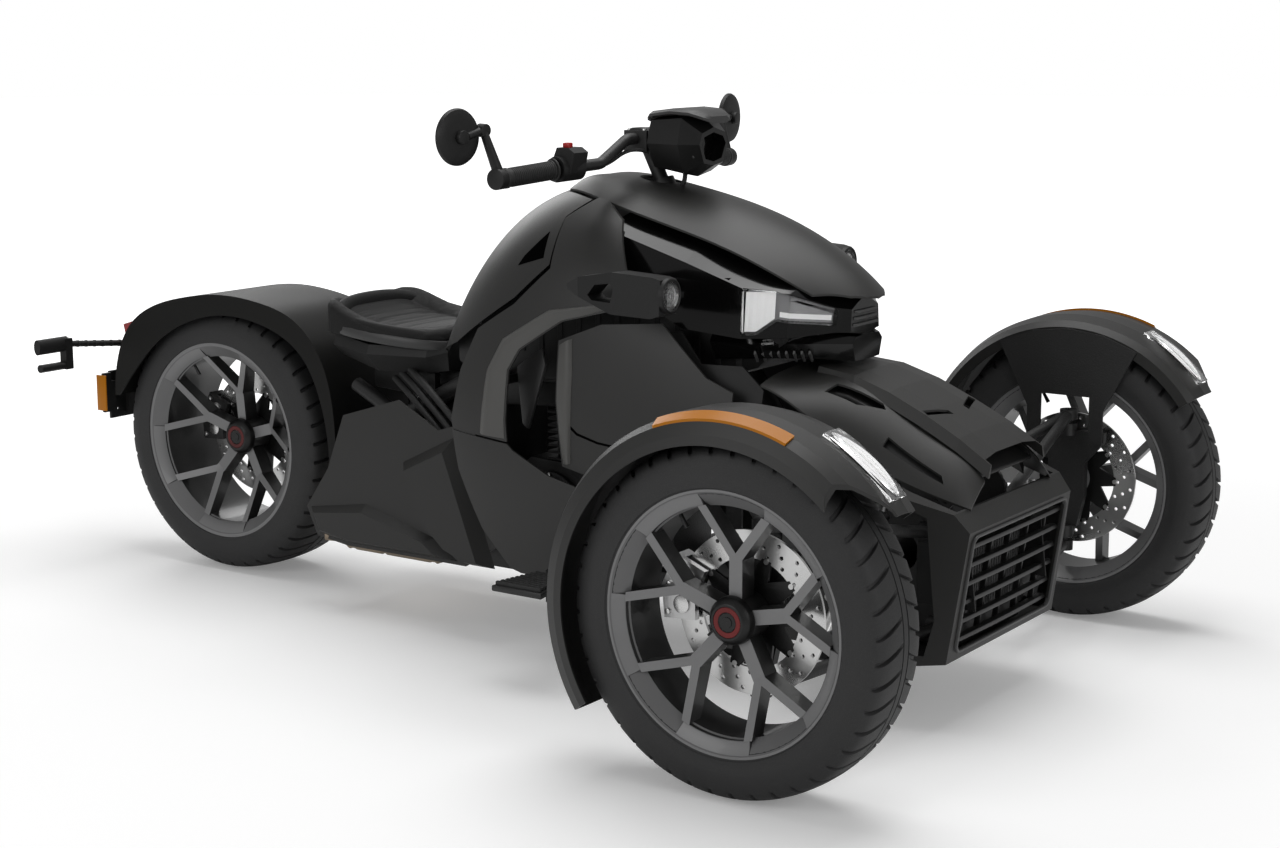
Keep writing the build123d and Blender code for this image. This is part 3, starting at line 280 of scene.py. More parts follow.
def shade_sides_by_facing(material, pale, dark, low, high):
    """Faces that look along the axle take the pale colour, the others the dark one as painted shade."""
    tree = material.node_tree
    coordinates, parts, along, ramp, mix = (tree.nodes.new(f"ShaderNode{kind}") for kind in
                                            ("TexCoord", "SeparateXYZ", "Math", "MapRange", "Mix"))
    along.operation, ramp.interpolation_type, mix.data_type = "ABSOLUTE", "SMOOTHSTEP", "RGBA"
    give(ramp, {"From Min": low, "From Max": high})
    give(mix, {"A": (*dark, 1.0), "B": (*pale, 1.0)})
    join(tree, (coordinates, "Normal", parts, "Vector"), (parts, "Y", along, 0), (along, 0, ramp, "Value"),
         (ramp, 0, mix, "Factor"), (mix, "Result", tree.nodes["surface"], "Colour"))


def rod(mesh, radius, depth, spot, sides=28, top=None):
    """A round or many-sided rod added to the mesh, its middle and its direction given by a matrix."""
    bmesh.ops.create_cone(mesh, cap_ends=True, segments=sides, radius1=radius, radius2=top or radius,
                          depth=depth, matrix=spot)


def facing(place, direction):
    """The matrix that lays a rod along a direction at a place."""
    return Matrix.Translation(place) @ Vector(direction).to_track_quat("Z", "Y").to_matrix().to_4x4()


def crosswise(place):
    """The matrix that lays a rod across the vehicle at a place."""
    return Matrix.Translation(place) @ Matrix.Rotation(math.pi / 2, 4, "X")


def soften(mesh, offset, above=1.2, segments=2):
    """Rounds the edges whose faces turn by more than an angle in radians."""
    bmesh.ops.bevel(mesh, geom=[e for e in mesh.edges if e.calc_face_angle(0.0) > above], offset=offset,
                    offset_type="OFFSET", segments=segments, profile=0.5, affect="EDGES", material=-1)


# Painted shade: the sides and the barrel take the dark grey, the outward faces the pale one.
shade_sides_by_facing(rim_paint, (0.19, 0.19, 0.192), (0.020, 0.020, 0.020), 0.5, 0.85)
dress(rim_paint, "front_rim_right", "front_rim_left", "rear_rim")
nut_paint = finish("nut_paint", (0.14, 0.012, 0.012), 0.4, drift=0.6, grain=260.0, depth=0.9, metallic=0.4)
hub_black = finish("hub_black", 0.009, 0.34, metallic=0.3)


def wheel_trim(tag, body, centre, outward, half, first_angle):
    """The thick lengths of lip, the hub's ring, the nut's collar and core and the valve of one wheel."""
    toe = 0.034 + (half - 0.044) * 0.875
    lip = ((half - 0.036, 0.1884), (toe - 0.0012, 0.1884), (toe + 0.0002, 0.1898), (half - 0.0085, 0.1990),
           (half - 0.0015, 0.2095), (half - 0.003, 0.2105))
    lips = bmesh.new()
    for fork in range(5):
        spun([(outward * o, r) for o, r in lip], centre, LIP_SWEEP, 20, first_angle + fork * 72.0 + LIP_START,
             True, lips)
    bmesh.ops.holes_fill(lips, edges=[e for e in lips.edges if e.is_boundary], sides=6)
    soften(lips, 0.0008, 0.9, 1)
    add_piece(f"{tag}_lips", lips, rim_paint, body)
    for part, steps, material, crease, section in (
            ("hub_ring", 64, hub_black, 32.0, ((0.028, 0.0400), (0.037, 0.0385), (0.0395, 0.0365),
                                               (0.0470, 0.0300), (0.0476, 0.0285), (0.0476, 0.0255),
                                               (0.0466, 0.0248))),
            ("nut_collar", 48, nut_paint, 32.0, ((0.0466, 0.0250), (0.0474, 0.0242), (0.0474, 0.0170),
                                                 (0.0466, 0.0160))),
            ("nut_core", 12, hub_black, 20.0, ((0.0472, 0.0165), (0.0458, 0.0150), (0.0458, 0.0090),
                                               (0.0470, 0.0085), (0.0470, 0.0005)))):
        ring = spun([(outward * o, r) for o, r in section], centre, steps=steps)
        add_piece(f"{tag}_{part}", ring, material, body, crease)
    valve = bmesh.new()
    turn = Matrix.Rotation(math.radians(-(first_angle + 36.0)), 4, "Y")
    foot = turn @ Vector((0.181, outward * (half - 0.034), 0.0))
    spot = Matrix.Translation(Vector(centre) + foot * 0.97) @ turn @ Matrix.Rotation(math.pi / 2, 4, "Y")
    rod(valve, 0.0042, 0.026, spot, 12, 0.003)
    add_piece(f"{tag}_valve", valve, hub_black, body)


WHEELS = [("front_right", "wheel_front_right", (0.886, -0.66, 0.29), -1, 0.066, 85.5),
          ("front_left", "wheel_front_left", FRONT_AXLE, 1, 0.066, 85.5),
          ("rear", "wheel_rear", REAR_AXLE, -1, 0.098, 88.0)]
for wheel in WHEELS:
    wheel_trim(*wheel)


# Brake discs
# Ground steel rings, drilled through in staggered rows, on black carriers bolted to the back of each hub.
disc_steel = finish("disc_steel", (0.66, 0.66, 0.655), 0.28, drift=0.08, grain=260.0, depth=0.2, metallic=1.0)


def mesh_of_curve(name, curve):
    """A bmesh of what a curve draws."""
    holder = bpy.data.objects.new(name, curve)
    data = bpy.data.meshes.new_from_object(holder)
    bpy.data.objects.remove(holder)
    mesh = bmesh.new()
    mesh.from_mesh(data)
    bpy.data.meshes.remove(data)
    return mesh


def flat_cut(name, loops, thickness, place, body, material, bevel=0.0):
    """A plate cut from a flat outline with holes, standing across the vehicle at the place given."""
    curve = bpy.data.curves.new(name, "CURVE")
    curve.dimensions, curve.fill_mode = "2D", "BOTH"
    curve.extrude, curve.bevel_depth = thickness / 2 - bevel, bevel
    for loop in loops:
        spline = curve.splines.new("POLY")
        spline.points.add(len(loop) - 1)
        spline.use_cyclic_u = True
        for point, (x, z) in zip(spline.points, loop):
            point.co = (x, z, 0.0, 1.0)
    plate_mesh = mesh_of_curve(name, curve)
    bmesh.ops.transform(plate_mesh, verts=plate_mesh.verts, matrix=crosswise(place))
    return add_piece(name, plate_mesh, material, body)


def circle(radius, count, centre=(0.0, 0.0)):
    """Points round a circle, in the wheel's plane."""
    turns = [2 * math.pi * k / count for k in range(count)]
    return [(centre[0] + radius * math.cos(t), centre[1] + radius * math.sin(t)) for t in turns]


def polar(radius, degrees):
    """A point in the wheel's plane, its angle measured from forward to up."""
    return radius * math.cos(math.radians(degrees)), radius * math.sin(math.radians(degrees))


drilled = [circle(0.135, 120), circle(0.090, 96)]
for row, radius in enumerate((0.0975, 0.1115, 0.1255)):
    drilled += [circle(0.0036, 10, polar(radius, k * 18.0 + row * 6.0)) for k in range(20)]
carrier = []
for k in range(10):
    carrier += [polar(0.062, k * 36.0 - 12.0), polar(0.094, k * 36.0 - 5.0), polar(0.094, k * 36.0 + 5.0)]
for tag, body, (cx, cy, cz), outward, _, _ in WHEELS:
    middle = cy - outward * 0.0265
    ring = flat_cut(f"{tag}_disc_ring", drilled, 0.005, (cx, middle, cz), body, disc_steel)
    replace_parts(ring, {"rear": "rear_brake_disc"}.get(tag, f"front_brake_disc_{tag[6:]}"))
    flat_cut(f"{tag}_disc_carrier", [carrier, circle(0.0385, 40)], 0.0064, (cx, middle, cz), body, hub_black,
             0.0004)
    rivets = bmesh.new()
    for k in range(10):
        x, z = polar(0.0915, k * 36.0)
        rod(rivets, 0.0045, 0.0084, crosswise((cx + x, middle, cz + z)), 14)
    add_piece(f"{tag}_disc_rivets", rivets, disc_steel, body)


# Calipers
# Cast and ground calipers of bright metal, each held by bolts, with piston covers on the outer face.
caliper_bright = finish("caliper_bright", 0.55, 0.3, drift=0.15, grain=240.0, depth=0.5, metallic=0.9)
dress(caliper_bright, "caliper_right", "caliper_left")
for tag, _, (cx, cy, cz), outward, _, _ in WHEELS:
    hardware = bmesh.new()
    for angles, reach, radius, height, sides in (((157, 180), 0.119, 0.015, 0.006, 28),
                                                 ((152, 168, 186), 0.146, 0.0055, 0.008, 6)):
        for x, z in (polar(reach, angle) for angle in angles):
            rod(hardware, radius, height, crosswise((cx + x, cy - outward * 0.0065, cz + z)), sides)
    soften(hardware, 0.001, 1.0)
    add_piece(f"{tag}_caliper_bolts", hardware, disc_steel,
              {"rear": "chassis"}.get(tag, f"knuckle_{tag[6:]}"))


# Front springs
# A black coil round each damper, between the lower arm and the frame's top bracket.
def tube(name, points, radius, material, body="chassis", resolution=6, sides=4):
    """A round bar or hose along the points of a smooth spline."""
    curve = bpy.data.curves.new(name, "CURVE")
    curve.dimensions, curve.bevel_depth = "3D", radius
    curve.bevel_resolution, curve.resolution_u, curve.use_fill_caps = sides, resolution, True
    spline = curve.splines.new("NURBS")
    spline.points.add(len(points) - 1)
    for point, place in zip(spline.points, points):
        point.co = (*place, 1.0)
    spline.order_u, spline.use_endpoint_u = 3, True
    return add_piece(name, mesh_of_curve(name, curve), material, body, 50.0)


def between(start, end, share):
    """The point at a share of the way from start to end."""
    return Vector(start).lerp(Vector(end), share)


def coil_spring(name, foot, head, side_on, turns, per_turn, first, length, radius, wire):
    """A coil round the line from foot to head, along a share of its length."""
    across = (head - foot).cross(side_on).normalized()
    count = turns * per_turn
    coil = []
    for k in range(count + 1):
        turn = 2 * math.pi * k / per_turn
        core = between(foot, head, first + length * k / count)
        coil.append(core + (side_on * math.cos(turn) + across * math.sin(turn)) * radius)
    tube(name, coil, wire, spring_paint, resolution=3, sides=3)


def damper_rods(foot, head, lengths):
    """The damper's stepped body, each length between two shares of the line from foot to head."""
    body = bmesh.new()
    for start, end, radius in lengths:
        rod(body, radius, (head - foot).length * (end - start),
            facing(between(foot, head, (start + end) / 2), head - foot))
    return body


spring_paint = finish("spring_paint", 0.012, 0.3, coat=0.3)
for side, sign in SIDES:
    foot, head = Vector((0.886, sign * 0.394, 0.199)), Vector((0.886, sign * 0.165, 0.425))
    coil_spring(f"front_coil_{side}", foot, head, Vector((1.0, 0.0, 0.0)), 7, 10, 0.235, 0.61, 0.0205, 0.0052)
    damper = damper_rods(foot, head, ((0.0, 0.5, 0.0105), (0.2, 0.235, 0.026), (0.45, 0.86, 0.014),
                                      (0.845, 0.875, 0.026), (0.875, 1.0, 0.0105)))
    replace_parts(add_piece(f"front_damper_{side}", damper, disc_steel), "front_shocks")


# Bodywork
# Moulded panels in matt charcoal, clipped to the frame behind, with glossy black round the headlamps.
PANEL_GRAIN = {"drift": 0.05, "grain": 1500.0, "depth": 0.25, "dust": 0.0}
body_plastic = finish("body_plastic", (0.0165, 0.0163, 0.0155), 0.42, specular=0.42, **PANEL_GRAIN)
dress(body_plastic, "fender_right", "fender_left", "side_panels", "side_covers", "lower_panels", "rear_cowl",
      "rear_side_covers", "top_cowl", "hood", "nose_shroud")
# A darker copy of the body plastic for the rear mudguard: painted shade that tones down its brightly lit top.
shaded_fender_plastic = finish("shaded_fender_plastic", (0.0095, 0.0094, 0.0088), 0.50, specular=0.14, **PANEL_GRAIN)
dress(shaded_fender_plastic, "rear_fender")
trim_plastic = finish("trim_plastic", 0.007, 0.5, grain=1200.0, specular=0.35)
dress(trim_plastic, "inner_fairing", "saddle_pan", "plate_bracket", "side_lamps")
trim_grey = finish("trim_grey", 0.055, 0.4, grain=900.0, depth=0.2)
gloss_black = finish("gloss_black", 0.003, 0.12, drift=0.02, grain=300.0, depth=0.02, dust=0.0,
                     coat=0.15, specular=0.28)
dress(gloss_black, "lamp_mask", "lamp_chin")


def bolts(name, spots, radius, height, material, body="chassis", sides=6):
    """Bolt heads with a softened edge at (place, direction) spots."""
    heads = bmesh.new()
    for place, direction in spots:
        rod(heads, radius, height, facing(place, direction), sides)
    soften(heads, radius * 0.18)
    return add_piece(name, heads, material, body)


def prism(points, reach, bevel=0.0, segments=2, mesh=None):
    """A flat outline of points pushed along a vector into a solid with softened edges."""
    solid = mesh or bmesh.new()
    face = solid.faces.new([solid.verts.new(point) for point in points])
    made = bmesh.ops.extrude_face_region(solid, geom=[face])["geom"]
    raised = [part for part in made if isinstance(part, bmesh.types.BMVert)]
    bmesh.ops.translate(solid, verts=raised, vec=reach)
    if bevel:
        corners = set(raised) | set(face.verts)
        edges = [edge for edge in solid.edges if edge.verts[0] in corners and edge.verts[1] in corners]
        bmesh.ops.bevel(solid, geom=edges, offset=bevel, offset_type="OFFSET", segments=segments, profile=0.5,
                        affect="EDGES", material=-1)
    return solid


def plate(axis, level, outline, reach, bevel=0.0, segments=2, mesh=None):
    """A prism whose outline lies square to an axis at a level and is pushed along that axis."""
    at = "xyz".index(axis)
    points = [(*pair[:at], level, *pair[at:]) for pair in outline]
    return prism(points, [reach if i == at else 0.0 for i in range(3)], bevel, segments, mesh)


def oblong(a0, b0, a1, b1):
    """The corners of a rectangle in order, from one corner and the opposite one."""
    return (a0, b0), (a1, b0), (a1, b1), (a0, b1)


def loft(rings, mesh=None, closed=True, caps=True):
    """A skin through rings of points, one after another, with flat ends."""
    skin = mesh or bmesh.new()
    corners = [[skin.verts.new(point) for point in ring] for ring in rings]
    count = len(corners[0])
    for low, high in zip(corners, corners[1:]):
        for i in range(count if closed else count - 1):
            skin.faces.new((low[i], low[(i + 1) % count], high[(i + 1) % count], high[i]))
    if caps:
        skin.faces.new(corners[0][::-1])
        skin.faces.new(corners[-1])
    return skin


# Inner liners
# A black airbox between the frame's rails and a splash sheet under the bonnet, which close the view through
# the gaps between panels.
airbox = plate("y", -0.150, ((-0.10, 0.540), (0.02, 0.524), (0.40, 0.530), (0.60, 0.590), (0.655, 0.640),
                             (0.650, 0.700), (0.50, 0.762), (0.30, 0.800), (0.08, 0.790), (0.0, 0.700),
                             (-0.10, 0.590)), 0.300, 0.012)
for k in range(12):
    x = 0.06 + k * 0.045
    plate("y", -0.152, oblong(x, 0.580, x + 0.012, 0.690), 0.304, 0.001, 1, airbox)
add_piece("airbox", airbox, trim_plastic)
tray = plate("y", -0.060, ((-0.400, 0.452), (-0.190, 0.440), (-0.160, 0.470), (-0.160, 0.508),
                           (-0.400, 0.508)), 0.120, 0.006)
plate("y", -0.120, ((-0.110, 0.455), (0.125, 0.470), (0.125, 0.535), (-0.110, 0.545)), 0.240, 0.006,
      mesh=tray)
add_piece("wiring_tray", tray, trim_plastic)
battery = plate("y", -0.094, ((-0.285, 0.250), (-0.060, 0.200), (-0.050, 0.470), (-0.100, 0.492),
                              (-0.240, 0.470), (-0.285, 0.400)), 0.188, 0.010)
for k in range(8):
    z = 0.235 + k * 0.028
    plate("y", -0.0955, oblong(-0.270, z, -0.070, z + 0.006), 0.191, 0.001, 1, battery)
add_piece("battery_box", battery, trim_plastic)
sheet = plate("y", -0.122, ((0.66, 0.560), (0.70, 0.566), (0.77, 0.556), (0.84, 0.530), (0.94, 0.480),
                            (1.02, 0.434), (1.02, 0.428), (0.94, 0.470), (0.84, 0.520), (0.77, 0.546),
                            (0.70, 0.556), (0.66, 0.550)), 0.244, 0.002)
for sign in (-1, 1):
    prism([(x, sign * 0.122, z) for x, z in ((0.70, 0.560), (0.84, 0.524), (0.99, 0.446), (0.99, 0.430),
                                             (0.84, 0.500), (0.70, 0.535))], (0.0, sign * 0.036, -0.040),
          mesh=sheet)
add_piece("bonnet_liner", sheet, trim_plastic)


# Headlamps
# Clear polycarbonate covers over a bright reflector block at the outer end and a grey light guide that runs
# in to the nose.
clear_lens = finish("clear_lens", 0.95, 0.03, drift=0.0, grain=80.0, depth=0.02, dust=0.0, specular=0.6)
give(clear_lens.node_tree.nodes["Principled BSDF"], {"Transmission Weight": 1.0, "IOR": 1.35})
dress(clear_lens, "lamp_lenses", "fender_lamp_right", "fender_lamp_left")
lamp_chrome = finish("lamp_chrome", 0.86, 0.16, drift=0.05, grain=90.0, depth=0.1, dust=0.0, metallic=0.75)
lamp_white = finish("lamp_white", 0.9, 0.25, drift=0.03, grain=300.0, depth=0.1, dust=0.0)
lamp_grey = finish("lamp_grey", (0.16, 0.16, 0.165), 0.3, drift=0.12, grain=90.0, depth=0.1, dust=0.0,
                   metallic=0.3)
LAMP_FACE = [(0.592, (0.190, 0.742), (0.198, 0.652)), (0.666, (0.150, 0.733), (0.158, 0.654)),
             (0.720, (0.074, 0.704), (0.080, 0.660))]


def lamp_point(x, z, depth, sign):
    """A point of a headlamp's face at x and z, moved in by depth."""
    low, high = LAMP_FACE[:2] if x < LAMP_FACE[1][0] else LAMP_FACE[1:]
    share = (x - low[0]) / (high[0] - low[0])
    top, bottom = between(low[1], high[1], share), between(low[2], high[2], share)
    y = bottom[0] + (top[0] - bottom[0]) * (z - bottom[1]) / (top[1] - bottom[1])
    slope = (high[1][0] - low[1][0]) / (high[0] - low[0])
    inward = depth / math.hypot(1.0, slope)
    return x + slope * inward, sign * (y - inward), z


def headlamp(side, sign):
    """The parts seen through one headlamp's cover: the fluted block, the grey guide and its bright bar."""
    flutes, guide, bar = [], [], []
    for k in range(25):
        x = 0.5975 + 0.047 * k / 24
        low = 0.664 + max(x - 0.616, 0.0) * 0.85
        high = min(0.7355, 0.7415 - max(x - 0.6, 0.0) * 0.10)
        depth = 0.0105 - 0.0008 * math.cos(2 * math.pi * k / 6)
        flutes.append([lamp_point(x, low + (high - low) * j / 8, depth, sign) for j in range(9)])
        x = 0.600 + 0.120 * k / 24
        low = 0.664 if x < 0.618 else (0.666 + (x - 0.618) * 0.7 if x < 0.648 else 0.687 - (x - 0.648) * 0.15)
        high = min(0.738, 0.7425 - max(x - 0.6, 0.0) * 0.10 - max(x - 0.666, 0.0) * 0.45)
        guide.append([lamp_point(x, low + (high - low) * j / 6, 0.0145, sign) for j in range(7)])
        x = 0.652 + 0.064 * k / 24
        low = 0.6885 - (x - 0.648) * 0.15
        bar.append([lamp_point(x, low + up, depth, sign) for up, depth in
                    ((0.0035, 0.006), (0.0125, 0.006), (0.0125, 0.012), (0.0035, 0.012))])
    # The reflector block takes a white paint instead of chrome: a painted reflection of the bright reflector.
    add_piece(f"lamp_block_{side}", loft(flutes, closed=False, caps=False), lamp_white,
              crease=15.0)
    add_piece(f"lamp_reflector_{side}", loft(guide, closed=False, caps=False), lamp_grey)
    add_piece(f"lamp_guide_{side}", loft(bar), lamp_white)


for side, sign in SIDES:
    headlamp(side, sign)
teeth = bmesh.new()
for sign in (-1, 1):
    for k in range(8):
        x, y = 0.604 + 0.0115 * k, 0.1655 - 0.0082 * k
        prism([(x - 0.002, sign * (y - 0.010), 0.612), (x + 0.0025, sign * (y - 0.010), 0.612),
               (x + 0.0045, sign * (y + 0.0045), 0.628), (x + 0.0005, sign * (y + 0.0045), 0.628)],
              (0.0, sign * 0.0012, -0.006), mesh=teeth)
for z, half in ((0.668, 0.046), (0.680, 0.044), (0.692, 0.041)):
    plate("z", z, ((0.7372, -half), (0.7432, -half + 0.006), (0.7432, half - 0.006), (0.7372, half)), 0.005,
          0.001, mesh=teeth)
add_piece("nose_fins", teeth, trim_grey)


# Fender lamps and markers
# A clear lamp low on the front of each mudguard with a fluted reflector behind it, and an amber strip above.
amber_lens = finish("amber_lens", (0.46, 0.160, 0.002), 0.30, drift=0.06, grain=160.0, depth=0.5, dust=0.0,
                    specular=0.25)
dress(amber_lens, "fender_marker_right", "fender_marker_left")
ARC_START, ARC_SWEEP, ARC_MIDDLE = 40.6, 23.8, 0.643
FLUTES = ((-0.0205, 0.3418), (-0.015, 0.3388), (-0.0095, 0.3418), (-0.003, 0.3388), (0.0035, 0.3418),
          (0.009, 0.3388), (0.0145, 0.3418), (0.0205, 0.3398))
BRIGHT_BAR = ((-0.0035, 0.340), (-0.0025, 0.3425), (0.0005, 0.3425), (0.0015, 0.340))


def fender_arc(sign, section):
    """A (y, radius) section swept round the front axle under one fender lamp, tapered at both ends."""
    rings = []
    for k in range(41):
        angle = math.radians(ARC_START + ARC_SWEEP * k / 40)
        spread = 0.10 + 0.90 * math.sin(math.pi * k / 40) ** 0.6
        middle = ARC_MIDDLE + 0.004 * (k / 20 - 1.0)
        rings.append([(FRONT_AXLE[0] + r * math.cos(angle), sign * (middle + y * spread),
                       FRONT_AXLE[2] + r * math.sin(angle)) for y, r in section])
    return rings


for side, sign in SIDES:
    reflector = loft(fender_arc(sign, FLUTES), closed=False, caps=False)
    add_piece(f"fender_lamp_reflector_{side}", reflector, lamp_chrome, f"knuckle_{side}", 20.0)
    bar = loft(fender_arc(sign, BRIGHT_BAR))
    add_piece(f"fender_lamp_bar_{side}", bar, lamp_white, f"knuckle_{side}")


# Swages and splits
# Moulded relief on the right and left panels: a swage along the inner edge of the arch and the rear edge of
# the side cover, pale as a painted highlight, the split line of its lower half, a vent in the rear cowl drawn
# as a flat near-black strip of painted shade, and a blade inside the arch in a lighter grey that is a painted
# highlight.
STEPS_PER_SPAN, STRIP_ROOT, REAR_HALF_WIDTH = 6, 0.0015, 0.28
# A lit copy of the body plastic: the swages' pale colour is a painted highlight.
swage_highlight_plastic = finish("swage_highlight_plastic", (0.080, 0.079, 0.075), 0.40, specular=0.45, **PANEL_GRAIN)
vent_dark = finish("vent_dark", 0.0015, 0.8, dust=0.0, grain=900.0, depth=0.3, specular=0.0)


def panel_strip(name, node, near, far, lifts, material):
    """A strip laid on a panel, on both sides, between two lines given in side view in millimetres."""
    panel = nodes[node]
    tree = BVHTree.FromPolygons([panel.matrix_world @ vertex.co for vertex in panel.data.vertices],
                                [face.vertices[:] for face in panel.data.polygons])
    for side, sign in SIDES:
        rings = []
        for k in range(STEPS_PER_SPAN * (len(near) - 1) + 1):
            span = min(k // STEPS_PER_SPAN, len(near) - 2)
            share = k / STEPS_PER_SPAN - span
            low, high = (between(line[span], line[span + 1], share) / 1000 for line in (near, far))
            over, under = [], []
            for j, lift in enumerate(lifts):
                x, z = low.lerp(high, j / (len(lifts) - 1))
                spot, normal, _, _ = tree.ray_cast(Vector((x, sign, z)), Vector((0.0, -sign, 0.0)))
                if spot is None:
                    spot, normal, _, _ = tree.find_nearest(Vector((x, sign * REAR_HALF_WIDTH, z)))
                out = normal if normal.y * sign > 0 else -normal
                over.append(spot + out * lift)
                under.insert(0, spot - out * STRIP_ROOT)
            rings.append(over + under)
        add_piece(f"{name}_{side}", loft(rings), material, crease=50.0)


panel_strip("arch_swage", "side_panels",
            ((132, 436), (131, 471), (137, 568), (163, 609), (256, 669), (346, 692)),
            ((70, 440), (74, 483), (85, 562), (120, 624), (226, 686), (336, 703)),
            (0.0006, 0.0026, 0.0046, 0.0066, 0.0080, 0.0074, 0.0006), swage_highlight_plastic)
panel_strip("cover_swage", "side_covers", ((240, 620), (239, 560), (239, 515), (246, 450), (253, 397)),
            ((268, 634), (272, 570), (271, 515), (271, 455), (270, 399)),
            (0.0006, 0.0024, 0.0042, 0.0056, 0.0050, 0.0006), swage_highlight_plastic)
panel_strip("cover_split", "side_covers",
            ((246, 506), (254, 478), (284, 455), (330, 443), (400, 436), (500, 434)),
            ((250, 508), (258, 481), (286, 459), (331, 447), (400, 440), (500, 438)),
            (0.0007, 0.0007), vent_dark)
# The vent is a flat near-black strip laid on the cowl: painted shade in place of the slot's opening.
panel_strip("cowl_vent", "rear_cowl", ((128, 776), (170, 822)), ((118, 758), (179, 776)),
            (0.0007, 0.0007, 0.0007), vent_dark)
# The blade's lighter trim grey is a painted highlight on the inner face of the arch.
for side, sign in SIDES:
    blade = plate("y", sign * 0.214, ((0.098, 0.560), (0.159, 0.602), (0.167, 0.570), (0.124, 0.439),
                                      (0.110, 0.449)), sign * -0.010, 0.003)
    add_piece(f"arch_blade_{side}", blade, trim_grey)


# Side lamps
# Round clear lamps in the pods beside the cowl, each with a dark metal bowl and a black bezel ring.
bowl_dark = finish("bowl_dark", 0.2, 0.12, drift=0.1, grain=120.0, depth=0.2, metallic=0.9)


def turned(section, steps, spot):
    """A round shape from (radius, height) points, its middle and its direction given by a matrix."""
    shape = bmesh.new()
    corners = [shape.verts.new((r, 0.0, h)) for r, h in section]
    edges = [shape.edges.new(pair) for pair in zip(corners, corners[1:])]
    bmesh.ops.spin(shape, geom=corners + edges, cent=(0, 0, 0), axis=(0, 0, 1), angle=2 * math.pi,
                   steps=steps, use_merge=True)
    bmesh.ops.transform(shape, matrix=spot, verts=shape.verts)
    return shape


for side, sign in SIDES:
    ahead = Matrix.Translation((0.5185, sign * 0.322, 0.738)) @ Matrix.Rotation(math.pi / 2, 4, "Y")
    bezel = turned(((0.0262, 0.0), (0.0262, 0.0075), (0.0285, 0.009), (0.031, 0.0075), (0.0318, 0.0)), 48,
                   ahead)
    add_piece(f"side_lamp_bezel_{side}", bezel, trim_plastic)
    bowl = turned(((0.0, 0.0061), (0.004, 0.0056), (0.005, 0.0013), (0.012, 0.0013), (0.013, 0.0031),
                   (0.0135, 0.0013), (0.0185, 0.0017), (0.0195, 0.0035), (0.02, 0.0019), (0.0245, 0.0051)),
                  48, ahead)
    add_piece(f"side_lamp_bowl_{side}", bowl, bowl_dark)


# Grille and radiator
# Moulded slats bowed towards the middle with upright ribs behind, and a cooling core of thin bright fins.
grille_plastic = finish("grille_plastic", 0.009, 0.4, grain=900.0, depth=0.2)
fin_metal = finish("fin_metal", 0.1, 0.45, grain=200.0, metallic=0.6)
dress(trim_plastic, "radiator")
GRILLE_HALF = 0.192


def grille_x(z):
    """Where the grille's sloping face lies at a height."""
    return 1.030 + (z - 0.124) * 34 / 234


slats = bmesh.new()
for k in range(6):
    z = 0.160 + k * 0.034
    rings = []
    for step in range(33):
        share = step / 16 - 1.0
        face = grille_x(z) - 0.0008 - 0.009 * share * share
        drop = 0.004 * share * share
        rings.append([(face + dx, share * GRILLE_HALF, z - drop + dz) for dx, dz in
                      ((-0.016, -0.0022), (-0.004, -0.0040), (-0.001, -0.0035), (0.0, -0.0015),
                       (-0.0015, 0.0036), (-0.005, 0.0046), (-0.016, 0.0032))])
    loft(rings, mesh=slats)
for y in (-0.150, -0.075, 0.0, 0.075, 0.150):
    plate("y", y - 0.0022, ((1.006, 0.1435), (1.017, 0.1435), (1.044, 0.3435), (1.033, 0.3435)), 0.0044,
          0.0008, mesh=slats)
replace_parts(add_piece("grille_slats", slats, grille_plastic, crease=50.0), "grille")

strip = []
for y, z, start in ((0.178, 0.331, 0), (-0.178, 0.331, 90), (-0.178, 0.156, 180), (0.178, 0.156, 270)):
    for turn in range(start, start + 91, 15):
        dy, dz = math.cos(math.radians(turn)), math.sin(math.radians(turn))
        strip.append([(grille_x(z + dz * r) + out - 0.0005, y + dy * r, z + dz * r) for r, out in
                      ((0.0145, -0.006), (0.0145, 0.0012), (0.0155, 0.0022), (0.0185, 0.0022),
                       (0.0195, 0.0012), (0.0195, -0.006))])
strip.append(strip[0])
add_piece("grille_surround", loft(strip, caps=False), trim_grey, crease=50.0)

duct, fins, tanks = bmesh.new(), bmesh.new(), bmesh.new()
for sign in (-1, 1):
    plate("y", sign * 0.146, ((0.930, 0.205), (1.046, 0.205), (1.030, 0.335), (0.930, 0.335)), sign * 0.003,
          0.0008, 1, duct)
    plate("z", 0.177, oblong(1.0035, sign * 0.1105, 1.0115, sign * 0.118), 0.172, 0.0015, mesh=tanks)
plate("z", 0.334, oblong(0.930, -0.146, 1.024, 0.146), 0.003, 0.0008, 1, duct)
for k in range(66):
    z = 0.181 + k * 0.0024
    prism([(1.0042, -0.110, z), (1.0042, 0.110, z), (1.0060, 0.110, z + 0.0006),
           (1.0060, -0.110, z + 0.0006)], (0.0, 0.0, 0.0005), mesh=fins)
for k in range(23):
    y = -0.110 + k * 0.01
    plate("z", 0.179, oblong(1.0042, y - 0.0009, 1.0066, y + 0.0009), 0.160, mesh=fins)
add_piece("radiator_duct", duct, trim_plastic)
add_piece("radiator_fins", fins, fin_metal)
add_piece("radiator_tanks", tanks, trim_plastic)


